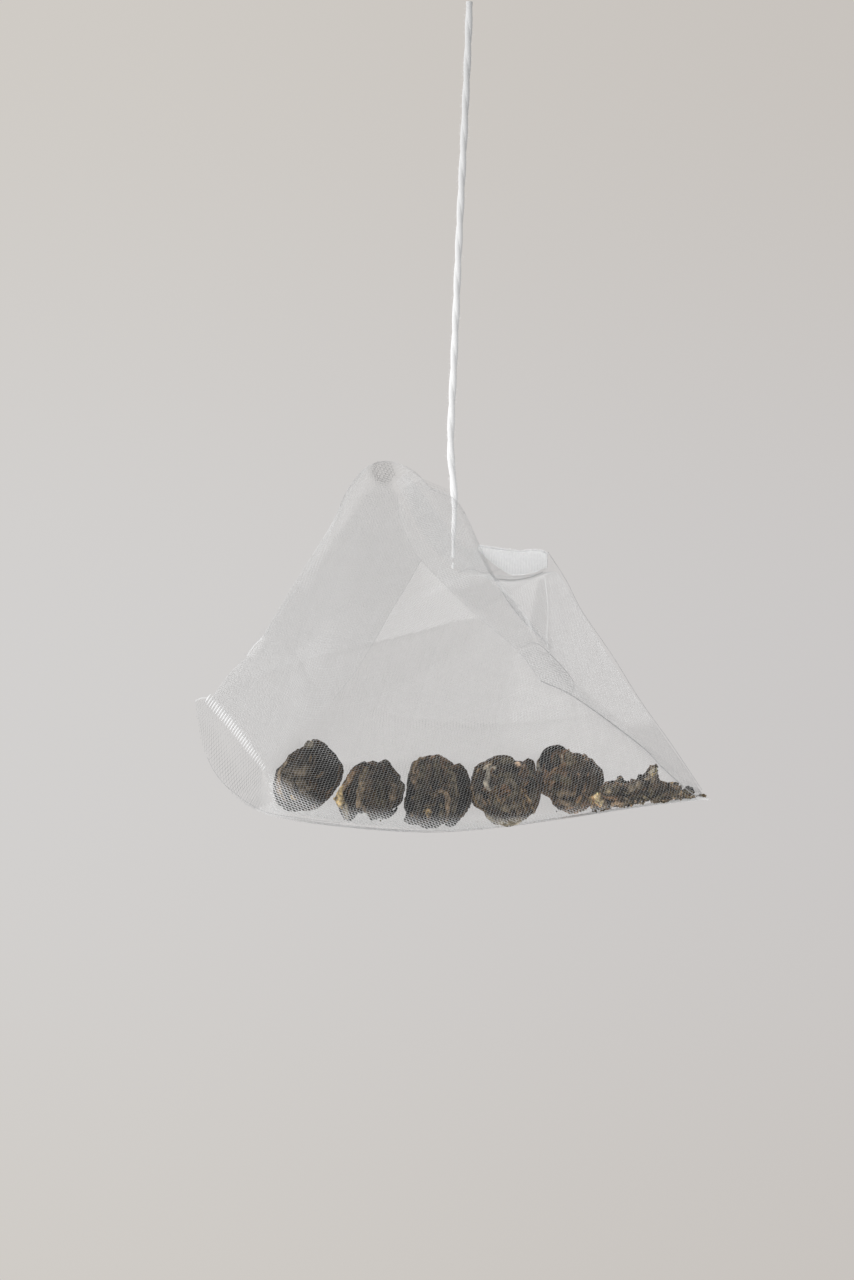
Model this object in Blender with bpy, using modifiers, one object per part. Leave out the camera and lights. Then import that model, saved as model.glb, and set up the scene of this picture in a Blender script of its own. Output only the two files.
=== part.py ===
"""Pyramid tea bag of sheer mesh film, hanging from its cotton string.

Metres, +Z up, X along the bottom seal, Y away from the viewer. The origin is the top of the string,
where the bag hangs.

The bag is a tube of film with a seal across each end, the two seals at right angles. Station v runs
up the tube from the bottom seal (0) to the top seal (1), and station u runs once round it (0 to 1).
Four folds join the corners: the left and right end of the bottom seal, and the near and far end of
the top seal.
"""

import math

import bmesh
import bpy
from mathutils import Vector, noise

MM = 0.001

# Width of the bag along its bottom seal, which sizes the whole bag, its tea and its string.
# The guide curves, string route and tea below are in drawn millimetres, for a bag 62.1 mm wide.
BAG_WIDTH = 62.1 * MM
DRAWN_WIDTH = 62.1
DRAWN = BAG_WIDTH / DRAWN_WIDTH

# Film, seals and clearances
FILM_THICKNESS = 0.20 * MM
FUSED_THICKNESS = 0.40 * MM
SEAM_HALF_WIDTH = 0.55 * MM
NEAR_TIP_RADIUS = 1.8 * MM
NEAR_TIP_LENGTH = 0.10
SEAM_TAPER = 0.04
SEAL_PULL = 1.6
FIN_INSET = 0.03
SEAT_CLEARANCE = 0.30 * MM

# Swelling of the film over the tea: its depth, the level where it is widest and where it ends
BELLY_DEPTH = 4.4 * DRAWN
BELLY_LEVEL = 0.075
BELLY_REACH = 0.34
BELLY_FULLNESS = 0.6

# Hollow of the near wall between its two flanks
HOLLOW_DEPTH = 3.0 * DRAWN
HOLLOW_EDGE = 1.1 * DRAWN
HOLLOW_LOWEST, HOLLOW_FADE = -91.0 * DRAWN, 9.0 * DRAWN

# Upright fold of the right wall
PLEAT_HEIGHT = 1.1 * DRAWN
PLEAT_WIDTH = 2.2 * DRAWN

# Film grid: stations in one quarter of the turn, which is also their number up the tube.
# The grid of gaps stands for the open weave: its lowest row, and the bars' share of a cell.
QUARTER = 14
STATION_POWER = 1.4
GAP_LOWEST_ROW = 3
GAP_MARGIN = 0.15
FIN_STATIONS = 32

# String, knot and weld
STRING_DIAMETER = 1.0 * MM
STRING_POINTS = 40
KNOT_RADIUS = 1.1 * MM
KNOT_RIPPLE = 0.12
WELD_SIZE = (0.6 * MM, 0.8 * MM, 0.7 * MM)

# Guide curves of the film
BOTTOM_SEAL = [
    (-32.6, 0, -88.5), (-29.2, 0, -92.1), (-26.4, 0.5, -96.1), (-25.7, 1, -99.0),
    (-24.9, 1, -101.3), (-23.0, 1, -102.9), (-20.0, 1, -103.9), (-15.5, 1, -104.5),
    (-9.5, 1, -105.0),
    (-3.7, 1, -105.2), (3.8, 1, -104.6), (11.3, 0.8, -103.5), (18.8, 0.5, -102.3),
    (27.9, 0, -101.0), (29.5, 0, -100.9),
]
BOTTOM_FIN_EDGE = [
    (-34.4, 0, -88.8), (-33.6, 0, -94.0), (-31.7, 0.3, -98.2), (-29.0, 1.0, -101.2),
    (-25.4, 2.6, -103.2), (-19.6, 4.6, -104.3), (-11.2, 5.6, -105.2), (-3.7, 5.6, -105.4),
    (3.8, 5.4, -104.8), (12.5, 4.8, -103.6), (21.5, 3.4, -102.2), (28.6, 1.4, -101.3),
    (30.2, 0.2, -101.3),
]
TOP_SEAL = [
    (-10.4, -28, -59.5), (-8.1, -22, -64.3), (-5.2, -12, -69.6), (-1.1, 0, -72.9),
    (1.4, 8, -73.0), (4.0, 15, -73.1), (7.3, 23, -72.9), (10.3, 30, -72.3),
]
TOP_FIN_EDGE = [
    (-10.0, -28, -59.0), (-6.4, -22, -62.7), (-3.3, -12, -66.5), (-0.5, 0, -69.6),
    (1.6, 8, -69.4), (4.0, 15, -69.1), (7.3, 23, -69.2), (10.3, 30, -69.6),
]
LEFT_NEAR_FOLD = [
    (-32.6, 0, -88.5), (-30.1, -4, -85.2), (-26.7, -8, -81.9), (-21.9, -14, -74.3),
    (-17.1, -20, -67.3), (-14.6, -25.2, -62.9), (-12.3, -27.9, -60.3), (-10.4, -28, -59.5),
]
RIGHT_NEAR_FOLD = [
    (29.5, 0, -100.9), (23.9, -3.2, -97.1), (16.1, -7, -90.7), (12.8, -8.4, -87.7),
    (9.2, -10.5, -83.3), (6.6, -12.5, -78.3), (2.4, -15, -73.2), (0.3, -17.5, -69.4),
    (-2.7, -22, -63.9), (-5.9, -25.6, -62.5), (-8.4, -27.9, -60.3), (-10.4, -28, -59.5),
]
LEFT_FAR_FOLD = [
    (-32.6, 0, -88.5), (-22.6, 7, -84.4), (-12.1, 13.5, -81.6), (-6.1, 17.5, -80.1),
    (-2.1, 20, -78.9), (4.1, 25, -75.8), (10.3, 30, -72.3),
]
RIGHT_FAR_FOLD = [
    (29.5, 0, -100.9), (27.7, 3, -97.8), (21.7, 11, -88.9), (18.0, 16, -83.2),
    (14.4, 21.5, -77.1), (11.9, 26, -72.8), (10.3, 30, -72.3),
]
LEFT_CREASE = [(-6.1, -71.5), (-9.9, -77.9), (-14.2, -85.2), (-21.0, -93.0)]
RIGHT_CREASE = [(-6.1, -71.5), (0.3, -77.8), (8.7, -86.3), (13.1, -88.4)]
UPRIGHT_FOLD = [(10.3, -72.4), (9.8, -83.7)]

# Route of the string from its knot down to the weld
STRING_ROUTE = [
    (0.0, 0, 0.0), (-0.2, 0, -6.2), (-0.6, 0, -15.6), (-1.3, 0, -30.0), (-1.9, 0, -44.4),
    (-2.4, 0, -56.2), (-2.1, 0, -61.2), (-1.9, 0, -64.4), (-2.0, 0, -67.5), (-2.1, 0, -70.95),
]

WELD_CENTRE = (-2.1, 0, -71.95)

# Rolled tea pearls: centre and half sizes, turn of the winding in degrees
PEARLS = [
    ((-20.2, 1.2, -97.9), (4.3, 3.9, 4.6), 20),
    ((-12.3, -1.0, -99.8), (4.0, 3.9, 3.9), 140),
    ((-4.1, 0.8, -100.4), (4.1, 4.0, 4.4), 80),
    ((4.5, -0.5, -99.5), (4.2, 4.0, 4.2), 200),
    ((12.4, 1.9, -98.4), (4.2, 4.0, 4.2), 300),
]

# Broken leaf beside them: centre and half sizes, slope in degrees
CRUMBS = [
    ((17.6, -1.2, -100.0), (1.3, 1.1, 1.1), 5),
    ((18.8, 1.2, -99.5), (1.0, 0.9, 1.2), -25),
    ((20.75, -0.9, -99.4), (1.6, 0.9, 1.0), 16),
    ((22.3, 1.3, -98.9), (1.9, 0.8, 0.9), 36),
    ((23.5, -0.6, -99.5), (1.1, 0.7, 0.9), -10),
    ((25.3, 0.2, -99.6), (1.1, 0.6, 0.8), 8),
    ((27.25, 0.3, -100.1), (0.7, 0.35, 0.35), -8),
]

# Surfaces of the rolled leaf: its mean radius, the lip of each turn, creases and dents, and the
# broken leaf's roughness
LEAF_RADIUS, LEAF_LIP, LEAF_CREASES, LEAF_DENTS = 0.93, 0.055, 0.03, 0.09
CRUMB_RADIUS, CRUMB_DENTS = 0.86, 0.5


def curve_at(points, share):
    """Point at a share of the length of a smooth curve through guide points, in metres."""
    knots = [Vector(point) * DRAWN for point in points]
    lengths = [(far - near).length for near, far in zip(knots, knots[1:])]
    rest = min(max(share, 0.0), 1.0) * sum(lengths)
    last = len(lengths) - 1
    piece = 0
    while piece < last and rest > lengths[piece]:
        rest -= lengths[piece]
        piece += 1
    t = min(rest / lengths[piece], 1.0)
    near = knots[piece]
    far = knots[piece + 1]
    before = knots[piece - 1] if piece > 0 else 2 * near - far
    after = knots[piece + 2] if piece < last else 2 * far - near
    return 0.5 * (
        2 * near
        + (far - before) * t
        + (2 * before - 5 * near + 4 * far - after) * t ** 2
        + (3 * near - before - 3 * far + after) * t ** 3
    )


def seal_sag(seal, share):
    """How far a seal lies from the straight line between its ends."""
    return curve_at(seal, share) - curve_at(seal, 0).lerp(curve_at(seal, 1), share)


def round_rise(share):
    """Rise of a quarter circle from 0 to 1."""
    return math.sqrt(1 - (1 - min(max(share, 0.0), 1.0)) ** 2)


def bottom_half_width(level, share):
    """Half the width of the tube at the bottom seal, and of its belly above it."""
    ends = round_rise(share / SEAM_TAPER) * round_rise((1 - share) / SEAM_TAPER)
    seam = SEAM_HALF_WIDTH * ends * (1 - level)
    swelling = round_rise(level / BELLY_LEVEL) * math.sqrt(max(1 - level / BELLY_REACH, 0))
    along = math.sin(math.pi * min(max(share, 0.0), 1.0)) ** BELLY_FULLNESS
    return seam + BELLY_DEPTH * swelling * along


def top_half_width(level, share):
    """Half the width of the tube at the top seal: a round mouth at its near end."""
    ends = round_rise(share / SEAM_TAPER) * round_rise((1 - share) / SEAM_TAPER)
    mouth = (NEAR_TIP_RADIUS - SEAM_HALF_WIDTH) * math.exp(-((share / NEAR_TIP_LENGTH) ** 2))
    return (SEAM_HALF_WIDTH + mouth) * ends * level ** 3


def beside_line(point, line):
    """Distance from a line in the view of X and Z, positive on the side where it lies lower."""
    best, side = math.inf, 1.0
    for (ax, az), (bx, bz) in zip(line, line[1:]):
        start = Vector((ax, az)) * DRAWN
        run = Vector((bx, bz)) * DRAWN - start
        offset = Vector((point.x, point.z)) - start
        t = min(max(offset.dot(run) / run.length_squared, 0.0), 1.0)
        gap = (offset - run * t).length
        if gap < best:
            best = gap
            side = 1.0 if (run.x * offset.y - run.y * offset.x) * run.x < 0 else -1.0
    return best * side


def hollow(point):
    """Depth of the hollow between the two flanks of the near wall."""
    inside = min(beside_line(point, LEFT_CREASE), beside_line(point, RIGHT_CREASE))
    if inside <= 0:
        return 0.0
    fade = min(max((point.z - HOLLOW_LOWEST) / HOLLOW_FADE, 0.0), 1.0)
    return HOLLOW_DEPTH * (1 - math.exp(-inside / HOLLOW_EDGE)) * fade


def pleat(point):
    """Height of the upright fold of the right wall."""
    gap = abs(beside_line(point, UPRIGHT_FOLD))
    return PLEAT_HEIGHT * max(1 - gap / PLEAT_WIDTH, 0.0)


def film_point(u, v):
    """Point of the film at its stations u round the tube and v up the tube."""
    u = u % 1.0
    turn = v / 4
    left_near = curve_at(LEFT_NEAR_FOLD, v)
    right_near = curve_at(RIGHT_NEAR_FOLD, v)
    left_far = curve_at(LEFT_FAR_FOLD, v)
    right_far = curve_at(RIGHT_FAR_FOLD, v)
    if v < 1 and turn <= u <= 0.5 - turn:
        t = (u - turn) / (0.5 - 2 * turn)
        point = left_near.lerp(right_near, t) + seal_sag(BOTTOM_SEAL, t) * (1 - v) ** SEAL_PULL
        point.y += hollow(point) - bottom_half_width(v, t)
    elif v < 1 and 0.5 + turn <= u <= 1 - turn:
        t = 1 - (u - 0.5 - turn) / (0.5 - 2 * turn)
        point = left_far.lerp(right_far, t) + seal_sag(BOTTOM_SEAL, t) * (1 - v) ** SEAL_PULL
        point.y += bottom_half_width(v, t)
    elif 0.25 < u < 0.75:
        t = (u - 0.5 + turn) / (2 * turn)
        point = right_near.lerp(right_far, t) + seal_sag(TOP_SEAL, t) * v ** SEAL_PULL
        point.x += top_half_width(v, t) + pleat(point) * (1 - v) * 4 * t * (1 - t)
    else:
        t = (u - 1 + turn) % 1.0 / (2 * turn)
        point = left_far.lerp(left_near, t) + seal_sag(TOP_SEAL, 1 - t) * v ** SEAL_PULL
        point.x -= top_half_width(v, 1 - t)
    return point


def new_material(name, color, roughness, alpha=1.0):
    """Plain surface of one colour."""
    material = bpy.data.materials.new(name)
    material.use_nodes = True
    shader = material.node_tree.nodes["Principled BSDF"]
    shader.inputs["Base Color"].default_value = (*color, 1.0)
    shader.inputs["Roughness"].default_value = roughness
    shader.inputs["Metallic"].default_value = 0.0
    shader.inputs["Alpha"].default_value = alpha
    return material


def new_object(name, mesh, collection, material=None):
    """Object of a mesh in a collection, with its one material."""
    thing = bpy.data.objects.new(name, mesh)
    collection.objects.link(thing)
    if material:
        mesh.materials.append(material)
    return thing


def mesh_from(build, name):
    """Mesh of what a bmesh holds, with its faces pointing out."""
    mesh = bpy.data.meshes.new(name)
    build.to_mesh(mesh)
    build.free()
    return mesh


def station(step):
    """Level of a ring of the film grid, with the rings closer together over the tea."""
    return (step / QUARTER) ** STATION_POWER


def turn_station(step):
    """Place round the tube of a line of the film grid, so that the folds pass through its corners."""
    quarter_number, rest = divmod(step, QUARTER)
    if quarter_number % 2 == 0:
        return (quarter_number + station(rest)) / 4
    return (quarter_number + 1 - station(QUARTER - rest)) / 4


def cross_fold(build, corners, quarter_number):
    """Two triangles that meet along the film's fold across one cell."""
    a, b, c, d = corners
    if quarter_number % 2 == 0:
        build.faces.new((a, b, c))
        build.faces.new((a, c, d))
    else:
        build.faces.new((a, b, d))
        build.faces.new((b, c, d))


def film_mesh():
    """Skin of the tube: rings of cells up its length, closed along both seals, with weave gaps."""
    around = 4 * QUARTER
    build = bmesh.new()
    rings = [
        [build.verts.new(film_point(turn_station(i), station(j))) for i in range(around)]
        for j in range(QUARTER + 1)
    ]
    gaps = []
    for j in range(QUARTER):
        for i in range(around):
            k = (i + 1) % around
            corners = (rings[j][i], rings[j][k], rings[j + 1][k], rings[j + 1][i])
            quarter_number, step = divmod(i, QUARTER)
            on_fold = step == j if quarter_number % 2 == 0 else step == QUARTER - 1 - j
            if on_fold:
                cross_fold(build, corners, quarter_number)
                continue
            cell = build.faces.new(corners)
            near_wall = j < i < 2 * QUARTER - 1 - j
            if near_wall and j >= GAP_LOWEST_ROW:
                gaps.append(cell)
    close_seam(build, rings[0], 0, reverse=True)
    close_seam(build, rings[QUARTER], QUARTER, reverse=False)
    for cell in gaps:
        shortest = min(edge.calc_length() for edge in cell.edges)
        bmesh.ops.inset_individual(build, faces=[cell], thickness=shortest * GAP_MARGIN)
    bmesh.ops.delete(build, geom=gaps, context="FACES")
    return mesh_from(build, "mesh_bag")


def close_seam(build, ring, first, reverse):
    """Strip of film between the two walls of a flattened end of the tube."""
    around = len(ring)
    for i in range(around // 2):
        one = ring[(first + i) % around]
        two = ring[(first + i + 1) % around]
        three = ring[(first - i - 1) % around]
        four = ring[(first - i) % around]
        corners = [one, two, three, four]
        if reverse:
            corners.reverse()
        build.faces.new([v for n, v in enumerate(corners) if v not in corners[:n]])


def fin_mesh(name, seal, edge):
    """Flat strip of fused film from a seal out to its cut edge."""
    build = bmesh.new()
    rows = []
    for n in range(FIN_STATIONS + 1):
        share = FIN_INSET + (1 - 2 * FIN_INSET) * n / FIN_STATIONS
        root = curve_at(seal, share)
        tip = curve_at(edge, share)
        rows.append([build.verts.new(root.lerp(tip, across / 2)) for across in range(3)])
    for here, there in zip(rows, rows[1:]):
        for n in range(2):
            build.faces.new((here[n], there[n], there[n + 1], here[n + 1]))
    return mesh_from(build, name)


def add_thickness(thing, thickness, offset):
    """Gives an open sheet its thickness."""
    solidify = thing.modifiers.new("film thickness", "SOLIDIFY")
    solidify.thickness = thickness
    solidify.offset = offset
    solidify.use_quality_normals = True


def join_solid(thing, other):
    """Fuses another solid into this one."""
    join = thing.modifiers.new(other.name, "BOOLEAN")
    join.operation = "UNION"
    join.solver = "EXACT"
    join.object = other


def build_bag(parts, cutters, material):
    """Film of the bag with its two sealed fins, as one sheet."""
    bag = new_object("mesh_bag", film_mesh(), parts, material)
    add_thickness(bag, FILM_THICKNESS, -1)
    fins = (
        ("bottom_fin", BOTTOM_SEAL, BOTTOM_FIN_EDGE),
        ("top_fin", TOP_SEAL, TOP_FIN_EDGE),
    )
    for name, seal, edge in fins:
        fin = new_object(name, fin_mesh(name, seal, edge), cutters)
        fin.hide_render = True
        fin.display_type = "WIRE"
        add_thickness(fin, FUSED_THICKNESS, 0)
        join_solid(bag, fin)
    return bag


def build_string(parts, material):
    """Cotton string from its knot down to the seal."""
    curve = bpy.data.curves.new("cotton_string", "CURVE")
    curve.dimensions = "3D"
    curve.bevel_depth = STRING_DIAMETER / 2
    curve.bevel_resolution = 2
    curve.use_fill_caps = True
    spline = curve.splines.new("POLY")
    spline.points.add(STRING_POINTS - 1)
    length = sum((Vector(b) - Vector(a)).length for a, b in zip(STRING_ROUTE, STRING_ROUTE[1:])) * DRAWN
    start = (KNOT_RADIUS * (1 + KNOT_RIPPLE) + SEAT_CLEARANCE) / length
    for n, point in enumerate(spline.points):
        share = start + (1 - start) * n / (STRING_POINTS - 1)
        point.co = (*curve_at(STRING_ROUTE, share), 1.0)
    string = bpy.data.objects.new("cotton_string", curve)
    parts.objects.link(string)
    curve.materials.append(material)
    return string


def lump_mesh(name, rings, segments, radius_at):
    """Closed round lump whose radius follows a rule of its direction."""
    build = bmesh.new()
    bmesh.ops.create_uvsphere(build, u_segments=segments, v_segments=rings, radius=1.0)
    for vertex in build.verts:
        vertex.co = vertex.co * radius_at(vertex.co.normalized())
    return mesh_from(build, name)


def leaf_winding(direction, seed, turn):
    """Radius of a rolled leaf: overlapping turns of a strip, creases across them and dents."""
    tilt = math.radians(turn)
    axis = Vector((math.cos(tilt), 0.45 * math.sin(2 * tilt), math.sin(tilt))).normalized()
    side = axis.orthogonal().normalized()
    other = axis.cross(side)
    height = direction.dot(axis)
    angle = math.atan2(direction.dot(other), direction.dot(side)) / math.tau
    turns = (2.6 * height + angle) % 1.0
    lip = LEAF_LIP * (turns - 0.5)
    creases = LEAF_CREASES * math.sin(17 * angle * math.tau / 2 + 5 * height + seed)
    dents = LEAF_DENTS * noise.noise(direction * 2.1 + Vector((seed, 0, 0)))
    return LEAF_RADIUS + lip + creases * (1 - abs(height)) + dents


def crumb_surface(direction, seed):
    """Radius of a broken bit of leaf."""
    return CRUMB_RADIUS + CRUMB_DENTS * noise.noise(direction * 1.7 + Vector((seed, 0, 2)))


def build_pearls(parts, material):
    """Rolled tea pearls lying in a row along the bottom of the bag."""
    for n, (centre, half, turn) in enumerate(PEARLS, 1):
        name = f"tea_pearl_{n}"
        mesh = lump_mesh(name, 16, 26, lambda way: leaf_winding(way, 3.7 * n, turn))
        pearl = new_object(name, mesh, parts, material)
        pearl.location = Vector(centre) * DRAWN
        pearl.scale = Vector(half) * DRAWN


def build_crumbs(parts, material):
    """Broken bits of leaf that taper towards the right corner."""
    for n, (centre, half, slope) in enumerate(CRUMBS, 1):
        name = f"leaf_crumb_{n}"
        mesh = lump_mesh(name, 8, 10, lambda way: crumb_surface(way, n))
        crumb = new_object(name, mesh, parts, material)
        crumb.location = Vector(centre) * DRAWN
        crumb.rotation_euler.y = math.radians(-slope)
        crumb.scale = Vector(half) * DRAWN


def build_weld(parts, material):
    """Bead of melted film that holds the string's end against the top seal."""
    mesh = lump_mesh("string_weld", 8, 14, lambda way: 1.0)
    weld = new_object("string_weld", mesh, parts, material)
    weld.scale = WELD_SIZE
    weld.location = Vector(WELD_CENTRE) * DRAWN


def knot_turns(direction):
    """Radius of the knot: three turns of string wound round it."""
    return 1 + KNOT_RIPPLE * math.sin(3 * math.atan2(direction.y, direction.x) + 4 * direction.z)


def build_knot(parts, material):
    """Plain overhand knot at the top of the string, drawn tight."""
    mesh = lump_mesh("string_knot", 10, 16, knot_turns)
    knot = new_object("string_knot", mesh, parts, material)
    knot.scale = (KNOT_RADIUS, KNOT_RADIUS, KNOT_RADIUS)


def main():
    for thing in list(bpy.data.objects):
        bpy.data.objects.remove(thing)
    parts = bpy.data.collections.new("pyramid_tea_bag")
    cutters = bpy.data.collections.new("helpers")
    bpy.context.scene.collection.children.link(parts)
    bpy.context.scene.collection.children.link(cutters)
    film = new_material("sheer film", (0.80, 0.80, 0.80), 0.45, 0.35)
    cotton = new_material("white cotton", (0.84, 0.84, 0.83), 0.9)
    pearl = new_material("rolled tea leaf", (0.07, 0.055, 0.04), 0.75)
    crumb = new_material("broken tea leaf", (0.09, 0.065, 0.04), 0.8)
    build_bag(parts, cutters, film)
    build_string(parts, cotton)
    build_knot(parts, cotton)
    build_weld(parts, film)
    build_pearls(parts, pearl)
    build_crumbs(parts, crumb)


main()
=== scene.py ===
"""Looks of the pyramid tea bag: sheer woven film as real threads, cotton string, rolled tea and backdrop.

Metres, in the frame of the solids: +Z up, X along the bottom seal, Y away from the viewer, the origin
at the top of the string. Station v runs up the tube of film from the bottom seal (0) to the top seal
(1), and station u runs once round it.
"""

import math

import bmesh
import bpy
import numpy as np
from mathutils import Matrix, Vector, kdtree, noise

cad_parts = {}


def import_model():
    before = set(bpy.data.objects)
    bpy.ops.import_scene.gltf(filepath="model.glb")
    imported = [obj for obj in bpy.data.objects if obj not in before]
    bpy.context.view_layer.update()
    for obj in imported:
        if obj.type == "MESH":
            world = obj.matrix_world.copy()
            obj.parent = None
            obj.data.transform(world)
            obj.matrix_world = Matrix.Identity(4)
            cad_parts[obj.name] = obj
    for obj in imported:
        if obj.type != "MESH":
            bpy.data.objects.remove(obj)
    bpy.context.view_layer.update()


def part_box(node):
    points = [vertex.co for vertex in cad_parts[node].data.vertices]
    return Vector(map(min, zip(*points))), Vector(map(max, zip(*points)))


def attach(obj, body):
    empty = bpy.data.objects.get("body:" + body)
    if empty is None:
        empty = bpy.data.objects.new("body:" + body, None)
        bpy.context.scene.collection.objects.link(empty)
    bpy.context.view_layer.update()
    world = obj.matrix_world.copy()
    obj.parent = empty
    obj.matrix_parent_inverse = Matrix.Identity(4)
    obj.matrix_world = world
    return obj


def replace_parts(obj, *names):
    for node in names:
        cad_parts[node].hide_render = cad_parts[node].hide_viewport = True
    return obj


MM = 0.001

# Camera: how far it stands, where it looks, and the height of the view at the string's depth
CAMERA_DISTANCE = 0.70
VIEW_CENTRE = (-5.35 * MM, 0.0, -81.25 * MM)
VIEW_HEIGHT = 0.160
SENSOR_HEIGHT = 36.0
PHOTO_SIZE = (854, 1280)
PIXEL = VIEW_HEIGHT / PHOTO_SIZE[1]

# Film: steps from one thread to the next along weft and warp, half width of a thread, rise of the weave
WEFT_STEP = (0.46 * MM, 0.188 * MM)
WARP_STEP = (0.147 * MM, 0.346 * MM)
THREAD_HALF = 0.0105 * MM
WEAVE_LIFT = 0.012 * MM
SKIN_ALPHA = 0.02
FILM_WIDTH = 132.0 * MM
FILM_LENGTH = 52.0 * MM
FIN_WIDTH = 4.5 * MM
SEAM_HALF_WIDTH = 0.30 * MM
NEAR_TIP_RADIUS = 1.8 * MM
NEAR_TIP_LENGTH = 0.10
SEAM_TAPER = 0.04
SEAL_PULL = 1.6
FOLD_ROUNDING = 3.0
BELLY_DEPTH = 4.4 * MM
BELLY_LEVEL = 0.075
BELLY_REACH = 0.34
HOLLOW_DEPTH = 3.0 * MM
HOLLOW_EDGE = 1.1 * MM
HOLLOW_LOWEST, HOLLOW_FADE = -91.0 * MM, 9.0 * MM
PLEAT_HEIGHT = 1.1 * MM
PLEAT_WIDTH = 2.2 * MM
BASE_TONE = 0.63
THREAD_VARIETY = 0.035

# Fine grid of the film that threads are laid on
LEVELS, AROUND = 176, 720

# Backdrop colours: left and right of the view, and the tint towards its top and bottom
BACKDROP_LEFT = (0.648, 0.634, 0.624)
BACKDROP_RIGHT = (0.591, 0.573, 0.566)
BACKDROP_ENDS = (0.97, 0.945, 0.90)
BACKDROP_DROP = 0.012

# Light of the surroundings from the left and from the right
LIGHT_LEFT = 1.3
LIGHT_RIGHT = 0.3

# String
TWIST_PITCH = 9.0 * MM
PLY_RADIUS = 0.37 * MM
PLY_OFFSET = 0.10 * MM
STRING_RINGS = 520
STRING_SQUEEZE = ((-72.5 * MM, -69.0 * MM, -62.0 * MM), (0.42, 0.55, 1.0))
# Painted light on the string: tone by height, lighter towards its lower end and darker towards its top
STRING_PAINTED_LIGHT = ((-66.0 * MM, -58.0 * MM, -38.0 * MM, -12.0 * MM), (0.97, 0.92, 0.82, 0.65))
WELD_FLATNESS = (0.16, 0.12, 0.3)
FUZZ_HAIRS = 1100

# Rolled tea pearls: centre, half depth in Y, and outline seen from the front, in millimetres
PEARLS = {
    "tea_pearl_1": ((-20.2, 1.2, -97.9), 3.9, 11, [
        (-4.45, -0.95), (-4.1, 0.1), (-3.3, 1.0), (-2.2, 2.35), (-1.15, 3.2), (-0.55, 3.6),
        (-0.1, 4.1), (0.7, 4.5), (1.4, 4.35), (2.05, 3.85), (2.95, 2.8), (3.8, 1.85),
        (4.6, 0.95), (4.4, -0.6), (3.3, -2.35), (2.35, -3.5), (1.2, -4.5), (-0.55, -5.0),
        (-1.9, -5.1), (-3.15, -4.7), (-4.0, -4.0), (-4.5, -3.0),
    ]),
    "tea_pearl_2": ((-12.3, -1.0, -99.8), 3.9, 23, [
        (-2.4, 2.6), (-1.3, 3.4), (0.0, 3.7), (0.9, 3.35), (1.5, 3.65), (2.2, 3.6),
        (2.7, 2.9), (3.3, 2.2), (3.9, 1.7), (3.9, 1.1), (4.6, 0.5), (4.4, -0.8),
        (4.0, -2.1), (3.3, -3.0), (2.1, -3.9), (0.9, -3.9), (-0.4, -3.9), (-1.7, -3.2),
        (-2.6, -4.3), (-3.6, -4.0), (-4.2, -2.6), (-4.8, -1.4), (-4.3, -0.2), (-3.3, 1.0),
    ]),
    "tea_pearl_3": ((-4.1, 0.8, -100.4), 4.0, 37, [
        (-3.9, 1.5), (-3.5, 3.0), (-3.2, 4.0), (-2.4, 4.7), (-1.2, 5.0), (0.2, 4.9),
        (1.4, 4.4), (2.2, 3.7), (3.0, 3.8), (3.8, 3.1), (4.3, 2.1), (4.4, 0.1),
        (4.3, -2.0), (3.2, -3.4), (2.1, -4.5), (0.0, -4.6), (-2.6, -4.5), (-3.8, -4.3),
        (-4.3, -3.5), (-4.0, -2.6), (-4.4, -1.6), (-4.3, -0.2),
    ]),
    "tea_pearl_4": ((4.5, -0.5, -99.5), 4.0, 41, [
        (-4.3, 1.5), (-4.0, 2.5), (-3.1, 3.1), (-2.2, 3.3), (-1.5, 3.8), (-0.2, 3.9),
        (0.8, 3.8), (1.2, 3.3), (2.2, 3.1), (2.8, 3.6), (3.5, 3.3), (3.9, 2.0),
        (4.5, 0.7), (4.4, -1.5), (4.0, -3.0), (3.0, -3.9), (1.7, -4.7), (-0.2, -4.9),
        (-1.5, -4.6), (-2.5, -4.1), (-3.1, -3.4), (-4.1, -2.7), (-4.5, -1.7), (-4.6, -0.1),
    ]),
    "tea_pearl_5": ((12.4, 1.9, -98.4), 4.1, 59, [
        (-4.2, 0.7), (-4.2, 2.0), (-3.7, 2.7), (-2.9, 3.6), (-2.2, 4.0), (-1.3, 4.3),
        (-0.3, 4.2), (0.4, 3.8), (0.9, 3.6), (1.8, 3.5), (2.7, 2.7), (3.5, 1.8),
        (4.2, 1.1), (4.6, 0.2), (4.7, -0.8), (4.6, -1.6), (3.5, -3.0), (2.5, -4.1),
        (1.3, -4.7), (0.1, -4.8), (-1.3, -4.3), (-2.1, -3.7), (-2.5, -2.8), (-3.3, -2.3),
        (-4.1, -1.3),
    ]),
}
PEARL_TINTS = {
    "tea_pearl_1": (0.80, 0.68, 0.56),
    "tea_pearl_2": (0.70, 0.55, 0.40),
    "tea_pearl_3": (1.08, 0.95, 0.85),
    "tea_pearl_4": (1.40, 1.18, 1.00),
    "tea_pearl_5": (2.25, 1.90, 1.65),
}
CRUMB_TINT = (2.2, 1.9, 1.6)
FLAKE_TINT = (14.0, 12.0, 9.0)
PEARL_GRID = 53
LEAF_DEPTH = 0.20

# Colours of dry leaf
TAN = (0.22, 0.155, 0.095)
GOLD = (0.50, 0.35, 0.16)
PALE = (0.42, 0.37, 0.29)
OLIVE = (0.088, 0.070, 0.040)
ASH = (0.14, 0.110, 0.074)
BROWN = (0.075, 0.050, 0.030)
BLACK = (0.012, 0.009, 0.006)
BLUE_BLACK = (0.013, 0.012, 0.012)
LEAF_TINTS = (BLACK, BLUE_BLACK, (0.022, 0.015, 0.009), (0.040, 0.027, 0.015), OLIVE, BLACK, BROWN)

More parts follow.
